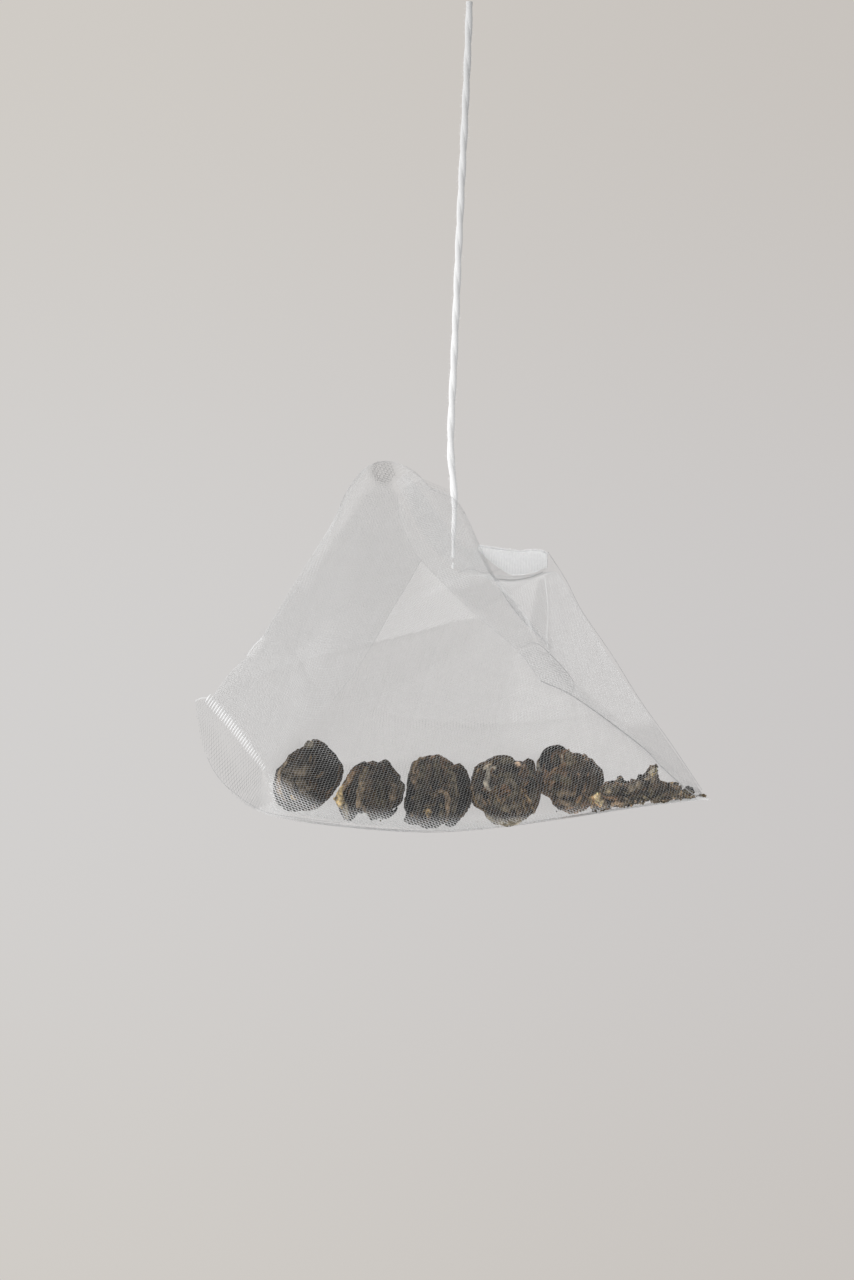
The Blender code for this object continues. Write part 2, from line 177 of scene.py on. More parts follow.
# Leaf strips that lie on the front of the pearls: path in X and Z from the centre, half width and
# height in millimetres, colour at each end
STRIPS = {
    "tea_pearl_1": [
        (((-1.8, 2.7), (-3.1, 1.1), (-3.9, -0.8), (-3.8, -2.6), (-2.6, -4.1)), 0.75, 0.35, ASH, TAN),
        (((0.2, 3.2), (0.2, 3.9), (0.5, 4.4)), 0.6, 0.45, OLIVE, PALE),
        (((-2.4, -2.6), (-1.9, -3.1), (-1.5, -3.6)), 0.35, 0.3, GOLD, GOLD),
        (((1.2, 3.6), (2.4, 1.8), (3.2, -0.2), (2.6, -2.4)), 1.3, 0.3, BLACK, BLUE_BLACK),
        (((0.0, 3.4), (-0.8, 1.2), (-0.6, -1.2), (0.3, -3.6)), 1.2, 0.4, BLUE_BLACK, ASH),
        (((-1.9, 1.8), (-2.5, 0.2), (-2.4, -1.8), (-1.2, -3.9)), 0.9, 0.3, BLUE_BLACK, ASH),
    ],
    "tea_pearl_2": [
        (((-1.6, 3.0), (-2.6, 1.8), (-3.4, 0.5), (-4.1, -0.6), (-4.3, -1.4)), 0.8, 0.5, (0.20, 0.115, 0.055), TAN),
        (((-4.1, 0.2), (-4.3, -1.2), (-4.1, -2.7)), 1.15, 0.7, (0.58, 0.43, 0.22), (0.58, 0.43, 0.22)),
        (((-3.7, -1.4), (-3.4, -2.6), (-3.1, -4.0)), 0.65, 0.4, OLIVE, PALE),
        (((-1.0, 3.1), (-1.9, 1.2), (-2.4, -1.0), (-2.2, -3.0)), 0.55, 0.45, BLACK, BLACK),
        (((-0.2, 3.3), (-1.0, 1.4), (-1.4, -0.8), (-1.0, -2.6), (-0.2, -3.2)), 0.6, 0.4, OLIVE, TAN),
        (((0.7, 3.2), (0.0, 1.2), (-0.2, -1.0), (0.6, -3.0)), 0.7, 0.4, BLACK, BROWN),
        (((1.4, 3.5), (1.9, 3.6), (2.3, 3.4)), 0.55, 0.5, BLACK, OLIVE),
        (((1.3, 2.6), (1.2, 0.8), (1.3, -1.2), (1.9, -3.0)), 0.7, 0.45, BLACK, OLIVE),
        (((2.4, 2.4), (2.6, 0.6), (2.8, -1.4), (2.6, -2.6)), 0.6, 0.4, BLACK, TAN),
        (((3.4, 1.6), (3.9, 0.3), (3.8, -1.2)), 0.5, 0.5, BLACK, ASH),
    ],
    "tea_pearl_3": [
        (((-3.0, 3.4), (-2.6, 2.6), (-2.9, 1.4)), 0.7, 0.4, TAN, BROWN),
        (((-2.0, 4.3), (-1.9, 2.4), (-2.3, 0.2), (-2.6, -2.2), (-2.8, -3.9)), 0.65, 0.4, OLIVE, BLUE_BLACK),
        (((-1.0, 4.6), (-1.0, 2.6), (-1.3, 0.4), (-1.6, -1.6)), 0.45, 0.5, BROWN, BLACK),
        (((-0.2, 4.7), (0.0, 2.8), (-0.2, 1.2)), 0.5, 0.5, OLIVE, BLACK),
        (((-0.4, -0.9), (0.0, 0.1), (0.8, 0.3), (1.4, -0.3), (1.4, -2.2), (1.2, -4.0)), 0.38, 0.5, TAN, TAN),
        (((0.4, -1.0), (0.6, -2.4), (0.4, -3.9)), 0.35, 0.4, OLIVE, ASH),
        (((-1.2, -2.0), (-1.1, -2.7), (-1.0, -3.3)), 0.4, 0.35, GOLD, TAN),
        (((1.2, 4.3), (1.8, 2.6), (2.1, 0.8), (2.2, -1.4), (2.1, -3.6)), 0.6, 0.45, OLIVE, ASH),
        (((3.0, 3.5), (3.4, 1.6), (3.5, -0.6), (3.1, -2.9)), 0.75, 0.5, BLACK, BLUE_BLACK),
        (((-3.7, 0.9), (-3.8, -1.2), (-3.7, -3.6)), 0.6, 0.4, BLUE_BLACK, BLACK),
    ],
    "tea_pearl_4": [
        (((-0.9, 2.9), (-1.9, 2.3), (-2.4, 1.4), (-2.6, 0.4), (-2.1, -0.4), (-1.6, 0.2)), 0.3, 0.5, PALE, PALE),
        (((-1.9, 3.1), (-2.6, 2.6), (-3.2, 2.0)), 0.4, 0.4, TAN, PALE),
        (((0.9, 3.1), (1.7, 2.9), (2.2, 2.5)), 0.5, 0.25, (0.52, 0.37, 0.25), (0.52, 0.37, 0.25)),
        (((-0.9, 3.4), (-0.2, 3.3), (0.5, 2.9), (0.7, 1.8)), 0.75, 0.5, OLIVE, BLACK),
        (((2.6, 3.2), (3.2, 2.2), (3.2, 0.9)), 0.6, 0.5, BLACK, OLIVE),
        (((-1.2, 1.4), (-0.1, 1.7), (1.1, 1.3), (1.9, 0.1)), 0.55, 0.45, OLIVE, BLACK),
        (((-1.0, -0.2), (-0.5, 0.7), (0.6, 0.7), (1.2, -0.3), (0.7, -1.3), (-0.4, -1.3)), 0.42, 0.5, ASH, OLIVE),
        (((-1.6, -0.8), (-1.5, -2.0), (-0.5, -2.7), (1.0, -2.6), (2.2, -1.6)), 0.5, 0.45, OLIVE, ASH),
        (((-3.6, 1.0), (-3.7, -0.6), (-3.2, -2.2), (-2.2, -3.4)), 0.6, 0.4, BLACK, ASH),
        (((-2.9, -3.4), (-1.8, -4.3), (-0.2, -4.8), (1.4, -4.5), (3.0, -3.5)), 0.9, 0.6, (0.33, 0.28, 0.20), PALE),
        (((2.9, 0.4), (3.5, -0.9), (3.1, -2.4)), 0.7, 0.4, BLACK, ASH),
    ],
    "tea_pearl_5": [
        (((-3.6, 1.4), (-3.6, 2.4), (-2.9, 3.4), (-1.8, 3.9), (-0.5, 3.9)), 0.6, 0.6, BLUE_BLACK, BLACK),
        (((-2.6, 3.2), (-2.7, 2.0), (-2.6, 0.8)), 0.5, 0.6, BLACK, BLUE_BLACK),
        (((-3.9, 2.0), (-3.9, 1.3), (-3.6, 0.7)), 0.3, 0.45, PALE, PALE),
        (((-1.7, 3.2), (-1.7, 2.2), (-1.5, 1.1)), 0.45, 0.6, OLIVE, BLACK),
        (((-1.0, 3.1), (-0.95, 2.4), (-0.9, 1.6)), 0.17, 0.5, PALE, TAN),
        (((-0.3, 3.5), (-0.1, 2.8), (0.0, 2.0), (-0.2, 1.0)), 0.55, 0.6, ASH, OLIVE),
        (((0.9, 3.3), (1.4, 2.2), (1.6, 0.8), (1.4, -1.0), (1.0, -2.6)), 0.7, 0.55, BROWN, BLACK),
        (((2.2, 2.8), (2.9, 1.6), (3.1, 0.0), (2.6, -1.8), (1.8, -3.4)), 0.65, 0.55, BLACK, BROWN),
        (((3.6, 1.2), (4.1, 0.1), (3.9, -1.2)), 0.5, 0.5, BROWN, BLACK),
        (((-2.6, -0.2), (-1.4, 0.1), (-0.2, -0.4), (0.4, -1.2)), 0.6, 0.45, OLIVE, OLIVE),
        (((-2.4, -1.6), (-1.4, -2.0), (-0.2, -1.9), (0.7, -2.6)), 0.5, 0.45, OLIVE, TAN),
        (((-1.7, -3.0), (-0.7, -3.4), (0.4, -3.6), (1.4, -4.1)), 0.6, 0.35, TAN, ASH),
        (((2.6, -2.0), (3.2, -2.8), (3.6, -3.4)), 0.7, 0.5, (0.45, 0.34, 0.18), (0.45, 0.34, 0.18)),
    ],
}
STRIP_STEPS, STRIP_ACROSS = 30, 11
HIDDEN_STRIPS = 14
RIDGES = 18

# Broken leaf: centre and half sizes in millimetres, slope in degrees, seed, colour
CRUMBS = {
    "leaf_crumb_1": ((17.6, -1.2, -100.0), (1.5, 1.1, 1.45), 5, 3, (0.16, 0.125, 0.075)),
    "leaf_crumb_2": ((18.8, 1.2, -99.5), (1.2, 0.9, 1.5), -25, 5, OLIVE),
    "leaf_crumb_3": ((20.75, -0.9, -99.6), (1.8, 0.9, 1.25), 16, 7, ASH),
    "leaf_crumb_4": ((22.3, 1.3, -98.9), (2.1, 0.8, 1.1), 36, 8, (0.24, 0.19, 0.13)),
    "leaf_crumb_5": ((23.5, -0.6, -99.6), (1.3, 0.7, 1.2), -10, 13, BROWN),
    "leaf_crumb_6": ((25.3, 0.2, -99.8), (1.4, 0.6, 1.0), 8, 17, TAN),
    "leaf_crumb_7": ((27.25, 0.3, -100.25), (1.0, 0.4, 0.5), -8, 19, OLIVE),
}
LOOSE_LEAF = {
    "gold_flake": ((16.1, -0.9, -101.1), (1.1, 0.6, 1.1), -40, 29, (0.62, 0.48, 0.28)),
    "pale_flake": ((22.9, -0.2, -97.6), (0.7, 0.5, 0.6), 40, 31, (0.50, 0.44, 0.33)),
}
DUST_SPECKS = 60
LITTER_FLAKES = 620
FLAKE_TINTS = (BLACK, OLIVE, BROWN, ASH, OLIVE, (0.05, 0.034, 0.019), TAN, ASH)
LITTER_TOPS = [
    (594, 800), (598, 792), (606, 787), (612, 782), (619, 781), (626, 787), (635, 783), (645, 777),
    (652, 774), (657, 782), (663, 788), (672, 786), (680, 790), (692, 797),
]
LITTER_BOTTOMS = [(594, 812), (600, 811), (620, 808), (640, 805), (668, 801), (693, 798)]

# Regions of the film in pixels of the photograph's frame, how bright the threads are painted there, and how
# softly each region ends. The levels are painted light and shade: above 1 paints light on the lit walls, faces,
# rims, sheen and glint, below 1 paints shade at the peak, the flap's fold, the lower tip and over the tea
LEFT_BAND = [
    (372, 462), (330, 520), (240, 650), (190, 696), (209, 698), (263, 766), (292, 735), (333, 700), (355, 672),
    (372, 645), (390, 613), (410, 580), (421, 560), (411, 545), (400, 519), (397, 492), (385, 470),
]
FRONT_BAND = [
    (385, 450), (397, 492), (400, 519), (411, 545), (421, 560), (473, 612), (517, 650), (541, 681), (576, 698),
    (640, 745), (662, 767), (690, 792), (712, 800), (640, 738), (600, 708), (575, 687), (573, 678), (552, 656),
    (541, 650), (535, 640), (524, 616), (513, 600), (490, 574), (473, 543), (449, 490), (421, 478), (400, 462),
]
LENS = [(517, 650), (535, 644), (552, 656), (573, 681), (573, 690), (571, 697), (542, 682)]
LIGHT_TRIANGLE = [(421, 561), (473, 612), (480, 617), (452, 622), (421, 631), (374, 643), (390, 613), (410, 580)]
CENTRE_RIGHT = [(517, 652), (541, 683), (576, 700), (640, 747), (690, 794), (600, 792), (560, 760), (500, 740)]
RIGHT_FACE = [(546, 560), (566, 570), (630, 670), (660, 725), (640, 735), (600, 706), (574, 682), (552, 655)]
RIGHT_TIP = [(628, 728), (656, 722), (716, 798), (690, 796), (662, 770), (640, 745)]
LOWER_BAND = [(450, 590), (490, 580), (513, 600), (545, 655), (541, 681), (517, 650), (473, 612)]
PEARL_ROW = [
    (268, 775), (300, 742), (330, 765), (400, 765), (440, 758), (475, 768), (520, 762), (560, 745), (590, 765),
    (604, 790), (660, 778), (692, 798), (600, 808), (420, 817), (340, 808), (285, 800),
]
VEIL_TOP = [
    (267, 764), (276, 768), (288, 776), (305, 788), (325, 798), (352, 803), (402, 806), (420, 811), (450, 812),
    (480, 814), (500, 812), (530, 810), (560, 803), (600, 799), (620, 800),
]
VEIL_BOTTOM = [
    (620, 808), (600, 811), (560, 819), (520, 826), (480, 830), (440, 832), (400, 829), (350, 824), (300, 816),
    (271, 811),
]
PEARL_SHADE = [
    (268, 775), (300, 742), (330, 765), (398, 764), (420, 756), (478, 768), (478, 806), (402, 808), (345, 802),
    (285, 796),
]
TIP_DUST = [(694, 788), (706, 790), (714, 808), (698, 798)]
UNDER_CRESCENT = [(490, 581), (514, 582), (530, 579.5), (547, 573), (546, 655), (535, 640), (524, 616), (513, 600)]
DARK_STRIP = [(538, 580), (546, 578), (548, 652), (535, 640), (530, 622)]
PEAK_SHADOW = [(374, 461), (392, 461), (397, 476), (390, 484), (376, 482), (371, 472)]
LEFT_RIM_HIGHLIGHT = [(330, 522), (352, 486), (368, 468), (373, 478), (358, 500), (332, 545), (305, 590), (300, 585)]
RIGHT_RIM_HIGHLIGHT = [(388, 466), (400, 468), (410, 482), (412, 500), (404, 516), (398, 494)]
GLINT = [(246, 654), (262, 634), (266, 638), (252, 658)]
INNER_SHEEN = [(282, 668), (330, 620), (352, 612), (330, 650), (296, 690)]
FLAP_SHADE = [(199, 722), (214, 732), (232, 762), (246, 790), (236, 792), (214, 768), (203, 745)]
FLAP_LIGHT = [(258, 775), (300, 760), (300, 812), (268, 808)]
WELD_SMEAR = [(438, 566), (456, 569), (472, 579), (468, 590), (450, 588), (436, 578)]
UNDER_PEARLS = [(270, 800), (440, 815), (600, 798), (600, 840), (440, 850), (270, 840)]
# Painted light and shade on the film's threads: each region's level and softness (TIP_DUST is darker for the dust in
# the tip)
TONES = [
    (LEFT_BAND, 1.12, 0), (INNER_SHEEN, 1.25, 14), (LIGHT_TRIANGLE, 1.56, 0), (CENTRE_RIGHT, 1.3, 22),
    (RIGHT_FACE, 1.42, 6), (FRONT_BAND, 1.32, 0), (LOWER_BAND, 1.05, 10), (LENS, 1.35, 0), (RIGHT_TIP, 0.88, 14),
    (UNDER_CRESCENT, 1.56, 0), (DARK_STRIP, 1.25, 0), (LEFT_RIM_HIGHLIGHT, 1.4, 8), (RIGHT_RIM_HIGHLIGHT, 1.5, 8),
    (PEAK_SHADOW, 0.26, 12), (GLINT, 1.56, 3), (UNDER_PEARLS, 1.2, 12), (FLAP_SHADE, 0.68, 12),
    (FLAP_LIGHT, 1.35, 12), (PEARL_ROW, 0.76, 10), (PEARL_SHADE, 0.62, 12),
    (TIP_DUST, 0.4, 4),
]

# Layers that are folded in behind the near wall, a layer of dark threads that paints the peak's shade, and the edges of
# folds, in the same pixels
FOLDED_LAYERS = {
    "folded_left": (LEFT_BAND[4:], 0.9, 0.35 * MM, 0),
    "folded_front": (FRONT_BAND[1:-1], 0.9, 0.45 * MM, 0),
    "folded_lens": (LENS, 0.8, 0.7 * MM, 0),
    "folded_strip": (DARK_STRIP, 0.8, 0.6 * MM, 0),
    # a layer of dark threads that paints the shade at the peak
    "peak_shade_layer": (PEAK_SHADOW, 0.5, 0.3 * MM, 0),
    "low_veil": (VEIL_TOP + VEIL_BOTTOM, 1.25, -0.06 * MM, 2.6),
    "weld_smear": (WELD_SMEAR, 1.5, -0.1 * MM, 0),
    "weld_smear_under": (WELD_SMEAR, 1.5, -0.03 * MM, 0),
    "weld_smear_over": (WELD_SMEAR, 1.5, -0.2 * MM, 0),
}
VEIL_FADE = 15
CORNER_PATCH = [(546, 550), (565, 578), (546, 578)]
CORNER_DEPTH = 28.0 * MM
# Fold edges: path in pixels, number of threads, and their tone, which paints the fold's shade (below 1) or highlight
# (above 1)
FOLD_EDGES = {
    "band_left_edge": ([(397, 492), (400, 519), (411, 545), (421, 560), (473, 612), (517, 650), (541, 681)], 2, 0.95),
    "band_lower_edge": ([(541, 681), (576, 698), (640, 745), (662, 767), (690, 792), (703, 797)], 5, 0.72),
    "lens_edge": ([(520, 648), (535, 643), (552, 656), (573, 681), (571, 696)], 3, 0.85),
    "left_band_edge": ([(421, 560), (410, 580), (390, 613), (372, 645), (355, 672), (333, 700)], 2, 0.8),
    "upright_edge": ([(545, 578), (548, 610), (547, 640), (551, 660)], 4, 1.4),
    "shadow_under_crescent": ([(497, 579), (513, 580), (529, 577.5), (543, 572)], 5, 0.8),
    "wrinkle": ([(457, 573), (470, 569), (485, 573), (502, 569)], 2, 0.8),
    "rim_edge_highlight": ([(262, 640), (300, 583), (330, 532), (352, 490), (366, 469)], 2, 1.1),
    "glint_edge": ([(247, 656), (254, 646), (262, 638)], 5, 1.5),
    "flap_edge": ([(207, 757), (216, 774), (232, 791), (263, 811), (300, 818), (340, 823)], 3, 0.85),
    "corner_edge_highlight": ([(195, 701), (202, 698), (209, 698)], 4, 1.5),
    "right_edge": ([(548, 552), (566, 580), (582, 611), (612, 655), (640, 700), (672, 745), (702, 790)], 3, 0.7),
}
FOLD_EDGE_STEP = 0.028 * MM
# Ladder at the left end: bright rungs, a painted highlight of the threads where they cross the fold
LADDER = [(208, 698), (222, 713), (236, 729), (250, 748), (264, 768)]
LADDER_RUNGS = 30
LADDER_REACH = 0.75 * MM
LADDER_LEAN = (0.35, -0.65)
LADDER_HALF = 0.13 * MM
CRESCENT_HALF = 0.05 * MM
CRESCENT_RIDGE = 0.04 * MM
CRESCENT_RIDGES = 27
CRESCENT_TOP = [(474, 546), (488, 548), (505, 550.5), (519, 552), (532, 551), (541, 551.5), (547, 554)]
CRESCENT_BOTTOM = [
    (474, 546.5), (483, 554), (492, 562), (501, 569), (509, 574), (514, 575.5), (523, 575), (537, 572), (544, 568),
]

# Guide curves of the film, in millimetres, as in the solids
BOTTOM_SEAL = [
    (-32.6, 0, -88.5), (-29.2, 0, -92.1), (-26.4, 0.5, -96.1), (-25.7, 1, -99.0),
    (-24.9, 1, -101.3), (-23.0, 1, -102.9), (-20.0, 1, -103.9), (-15.5, 1, -104.5),
    (-9.5, 1, -105.0),
    (-3.7, 1, -105.2), (3.8, 1, -104.6), (11.3, 0.8, -103.5), (18.8, 0.5, -102.3),
    (27.9, 0, -101.0), (29.5, 0, -100.9),
]
BOTTOM_FIN_EDGE = [
    (-34.4, 0, -88.8), (-33.6, 0, -94.0), (-31.7, 0.3, -98.2), (-29.0, 1.0, -101.2),
    (-25.4, 2.6, -103.2), (-19.6, 4.6, -104.3), (-11.2, 5.6, -105.2), (-3.7, 5.6, -105.4),
    (3.8, 5.4, -104.8), (12.5, 4.8, -103.6), (21.5, 3.4, -102.2), (28.6, 1.4, -101.3),
    (30.2, 0.2, -101.3),
]
TOP_SEAL = [
    (-10.4, -28, -59.5), (-8.1, -22, -64.3), (-5.2, -12, -69.6), (-1.1, 0, -72.9),
    (1.4, 8, -73.0), (4.0, 15, -73.1), (7.3, 23, -72.9), (10.3, 30, -72.3),
]
TOP_FIN_EDGE = [
    (-10.0, -28, -59.0), (-6.4, -22, -62.7), (-3.3, -12, -66.5), (-0.5, 0, -69.6),
    (1.6, 8, -69.4), (4.0, 15, -69.1), (7.3, 23, -69.2), (10.3, 30, -69.6),
]
LEFT_NEAR_FOLD = [
    (-32.6, 0, -88.5), (-30.1, -4, -85.2), (-26.7, -8, -81.9), (-21.9, -14, -74.3),
    (-17.1, -20, -67.3), (-14.6, -25.2, -62.9), (-12.3, -27.9, -60.3), (-10.4, -28, -59.5),
]
RIGHT_NEAR_FOLD = [
    (29.5, 0, -100.9), (23.9, -3.2, -97.1), (16.1, -7, -90.7), (12.8, -8.4, -87.7),
    (9.2, -10.5, -83.3), (6.6, -12.5, -78.3), (2.4, -15, -73.2), (0.3, -17.5, -69.4),
    (-2.7, -22, -63.9), (-5.9, -25.6, -62.5), (-8.4, -27.9, -60.3), (-10.4, -28, -59.5),
]
LEFT_FAR_FOLD = [
    (-32.6, 0, -88.5), (-22.6, 7, -84.4), (-12.1, 13.5, -81.6), (-6.1, 17.5, -80.1),
    (-2.1, 20, -78.9), (4.1, 25, -75.8), (10.3, 30, -72.3),
]
RIGHT_FAR_FOLD = [
    (29.5, 0, -100.9), (27.7, 3, -97.8), (21.7, 11, -88.9), (18.0, 16, -83.2),
    (14.4, 21.5, -77.1), (11.9, 26, -72.8), (10.3, 30, -72.3),
]
LEFT_CREASE = [(-6.1, -71.5), (-9.9, -77.9), (-14.2, -85.2), (-21.0, -93.0)]
RIGHT_CREASE = [(-6.1, -71.5), (0.3, -77.8), (8.7, -86.3), (13.1, -88.4)]
UPRIGHT_FOLD = [(10.3, -72.4), (9.8, -83.7)]
STRING_ROUTE = [
    (0.0, 0, 0.0), (-0.2, 0, -6.2), (-0.6, 0, -15.6), (-1.3, 0, -30.0), (-1.9, 0, -44.4),
    (-2.4, 0, -56.2), (-2.1, 0, -61.2), (-1.9, 0, -64.4), (-2.0, 0, -67.5), (-2.1, 0, -70.95),
]


def curve_table(points):
    """Shares of length, and places in metres, along a smooth curve through guide points."""
    knots = np.array(points, float) * MM
    lengths = np.linalg.norm(np.diff(knots, axis=0), axis=1)
    starts = np.concatenate([[0], np.cumsum(lengths)])
    whole = np.vstack([2 * knots[0] - knots[1], knots, 2 * knots[-1] - knots[-2]])
    t = np.linspace(0, 1, 24, endpoint=False)[:, None]
    shares, places = [], []
    for i, length in enumerate(lengths):
        a, b, c, d = whole[i : i + 4]
        places.append(
            0.5 * (2 * b + (c - a) * t + (2 * a - 5 * b + 4 * c - d) * t**2 + (3 * b - a - 3 * c + d) * t**3)
        )
        shares.append(starts[i] + t[:, 0] * length)
    places = np.vstack([*places, knots[-1]])
    shares = np.concatenate([*shares, [starts[-1]]]) / starts[-1]
    return shares, places


def curve_at(table, share):
    """Places on a curve at an array of shares of its length."""
    shares, places = table
    return np.stack([np.interp(share, shares, places[:, k]) for k in range(3)], axis=-1)


def seal_sag(table, share):
    """How far a seal lies from the straight line between its ends."""
    ends = curve_at(table, np.array([0.0, 1.0]))
    chord = ends[0] + (ends[1] - ends[0]) * np.asarray(share)[..., None]
    return curve_at(table, share) - chord


def round_rise(share):
    """Rise of a quarter circle from 0 to 1."""
    return np.sqrt(1 - (1 - np.clip(share, 0, 1)) ** 2)


def seam_ends(share):
    """Narrowing of a seam at its two ends."""
    return round_rise(share / SEAM_TAPER) * round_rise((1 - share) / SEAM_TAPER)


def bottom_half_width(level, share):
    """Half the width of the tube at the bottom seal, and of its belly above it."""
    swelling = round_rise(level / BELLY_LEVEL) * np.sqrt(np.maximum(1 - level / BELLY_REACH, 0))
    along = np.sin(np.pi * np.clip(share, 0, 1)) ** 0.6
    return SEAM_HALF_WIDTH * seam_ends(share) * (1 - level) + BELLY_DEPTH * swelling * along


def top_half_width(level, share):
    """Half the width of the tube at the top seal: a round mouth at its near end."""
    mouth = (NEAR_TIP_RADIUS - SEAM_HALF_WIDTH) * np.exp(-((share / NEAR_TIP_LENGTH) ** 2))
    return (SEAM_HALF_WIDTH + mouth) * seam_ends(share) * level**3


def beside_line(points, line):
    """Distance from a line in the view of X and Z, positive on the side where it lies lower."""
    best = np.full(points.shape[:-1], np.inf)
    side = np.ones(points.shape[:-1])
    for (ax, az), (bx, bz) in zip(line, line[1:]):
        start = np.array((ax, az)) * MM
        run = np.array((bx, bz)) * MM - start
        offset = points[..., (0, 2)] - start
        t = np.clip(offset @ run / (run @ run), 0, 1)
        gap = np.linalg.norm(offset - t[..., None] * run, axis=-1)
        turn = run[0] * offset[..., 1] - run[1] * offset[..., 0]
        nearer = gap < best
        best = np.where(nearer, gap, best)
        side = np.where(nearer, np.where(turn * run[0] < 0, 1.0, -1.0), side)
    return best * side


def hollow(points):
    """Depth of the hollow between the two flanks of the near wall."""
    inside = np.minimum(beside_line(points, LEFT_CREASE), beside_line(points, RIGHT_CREASE))
    fade = np.clip((points[..., 2] - HOLLOW_LOWEST) / HOLLOW_FADE, 0, 1)
    return HOLLOW_DEPTH * (1 - np.exp(-np.maximum(inside, 0) / HOLLOW_EDGE)) * fade


def pleat(points):
    """Height of the upright fold of the right wall."""
    return PLEAT_HEIGHT * np.maximum(1 - np.abs(beside_line(points, UPRIGHT_FOLD)) / PLEAT_WIDTH, 0)


def mix(a, b, t):
    """Point at a share of the way from one point to another."""
    return a + (b - a) * t[..., None]


def film_points(u, v, guides):
    """Places of the film at arrays of stations u round the tube and v up the tube."""
    turn = v / 4
    left_near, right_near, left_far, right_far = (curve_at(guides[n], v) for n in range(4))
    bottom, top = guides[4], guides[5]
    front_span = np.maximum(0.5 - 2 * turn, 1e-9)
    side_span = np.maximum(2 * turn, 1e-9)
    near = (v < 1) & (u >= turn) & (u <= 0.5 - turn)
    far = (v < 1) & (u >= 0.5 + turn) & (u <= 1 - turn) & ~near
    right = (u > 0.25) & (u < 0.75) & ~near & ~far

    t = np.clip((u - turn) / front_span, 0, 1)
    near_wall = mix(left_near, right_near, t) + seal_sag(bottom, t) * ((1 - v) ** SEAL_PULL)[..., None]
    near_wall[..., 1] += hollow(near_wall) - bottom_half_width(v, t)

    t = np.clip(1 - (u - 0.5 - turn) / front_span, 0, 1)
    far_wall = mix(left_far, right_far, t) + seal_sag(bottom, t) * ((1 - v) ** SEAL_PULL)[..., None]
    far_wall[..., 1] += bottom_half_width(v, t)

    t = np.clip((u - 0.5 + turn) / side_span, 0, 1)
    right_wall = mix(right_near, right_far, t) + seal_sag(top, t) * (v**SEAL_PULL)[..., None]
    right_wall[..., 0] += top_half_width(v, t) + pleat(right_wall) * (1 - v) * 4 * t * (1 - t)

    t = np.clip(np.mod(u - 1 + turn, 1.0) / side_span, 0, 1)
    left_wall = mix(left_far, left_near, t) + seal_sag(top, 1 - t) * (v**SEAL_PULL)[..., None]
    left_wall[..., 0] -= top_half_width(v, 1 - t)

    places = np.where(right[..., None], right_wall, left_wall)
    places = np.where(far[..., None], far_wall, places)
    return np.where(near[..., None], near_wall, places)


def rounded(grid, width):
    """The grid of film with its folds rounded, by a bell-shaped mean round the tube."""
    reach = int(3 * width)
    steps = np.arange(-reach, reach + 1)
    weights = np.exp(-0.5 * (steps / width) ** 2)
    weights /= weights.sum()
    return sum(w * np.roll(grid, s, axis=1) for s, w in zip(steps, weights))


def make_film_grid():
    """Fine grid of places and outward normals of the film."""
    names = (LEFT_NEAR_FOLD, RIGHT_NEAR_FOLD, LEFT_FAR_FOLD, RIGHT_FAR_FOLD, BOTTOM_SEAL, TOP_SEAL)
    guides = [curve_table(points) for points in names]
    v, u = np.meshgrid(np.linspace(0, 1, LEVELS + 1), np.arange(AROUND) / AROUND, indexing="ij")
    grid = rounded(film_points(u, v, guides), FOLD_ROUNDING)
    along = np.roll(grid, -1, axis=1) - np.roll(grid, 1, axis=1)
    up = np.gradient(grid, axis=0)
    normal = np.cross(along, up)
    normal /= np.maximum(np.linalg.norm(normal, axis=-1, keepdims=True), 1e-12)
    return grid, normal


def sample(grid, u, v):
    """Values of a film grid between its points."""
    row = np.clip(v * LEVELS, 0, LEVELS - 1e-6)
    column = np.mod(u, 1.0) * AROUND
    i, j = row.astype(int), column.astype(int) % AROUND
    a, b = (row - i)[..., None], (column - np.floor(column))[..., None]
    k = (j + 1) % AROUND
    low = grid[i, j] * (1 - b) + grid[i, k] * b
    high = grid[i + 1, j] * (1 - b) + grid[i + 1, k] * b
    return low * (1 - a) + high * a


def grid_mesh(name, places, closed=False):
    """Quad mesh of a grid of places, with its rows joined round when closed."""
    rows, columns = places.shape[:2]
    here = np.arange(rows * columns).reshape(rows, columns)
    if closed:
        here = np.hstack([here, here[:, :1]])
    quads = np.stack([here[:-1, :-1], here[:-1, 1:], here[1:, 1:], here[1:, :-1]], axis=-1)
    return raw_mesh(name, places.reshape(-1, 3), quads.reshape(-1, 4))


def raw_mesh(name, points, faces):
    """Mesh of arrays of points and of faces that all have the same number of corners."""
    mesh = bpy.data.meshes.new(name)
    corners = faces.shape[1]
    mesh.vertices.add(len(points))
    mesh.vertices.foreach_set("co", np.ascontiguousarray(points, np.float32).ravel())
    mesh.loops.add(faces.size)
    mesh.loops.foreach_set("vertex_index", np.ascontiguousarray(faces, np.int32).ravel())
    mesh.polygons.add(len(faces))
    mesh.polygons.foreach_set("loop_start", np.arange(0, faces.size, corners, dtype=np.int32))
    mesh.update(calc_edges=True)
    mesh.validate()
    return mesh


def lattice(width, length):
    """Crossings of the weave on a strip of film, as places on the strip and a mark for those inside."""
    w, q = np.array(WEFT_STEP), np.array(WARP_STEP)
    corners = np.array([(0, 0), (width, 0), (0, length), (width, length)])
    steps = corners @ np.linalg.inv(np.array([w, q]))
    low, high = np.floor(steps.min(axis=0)).astype(int), np.ceil(steps.max(axis=0)).astype(int)
    a, b = np.meshgrid(np.arange(low[0], high[0] + 1), np.arange(low[1], high[1] + 1), indexing="ij")
    places = a[..., None] * w + b[..., None] * q
    inside = (places >= 0).all(axis=-1) & (places[..., 0] <= width) & (places[..., 1] <= length)
    over = np.where((a + b) % 2 == 0, 1.0, -1.0)
    return places, inside, over


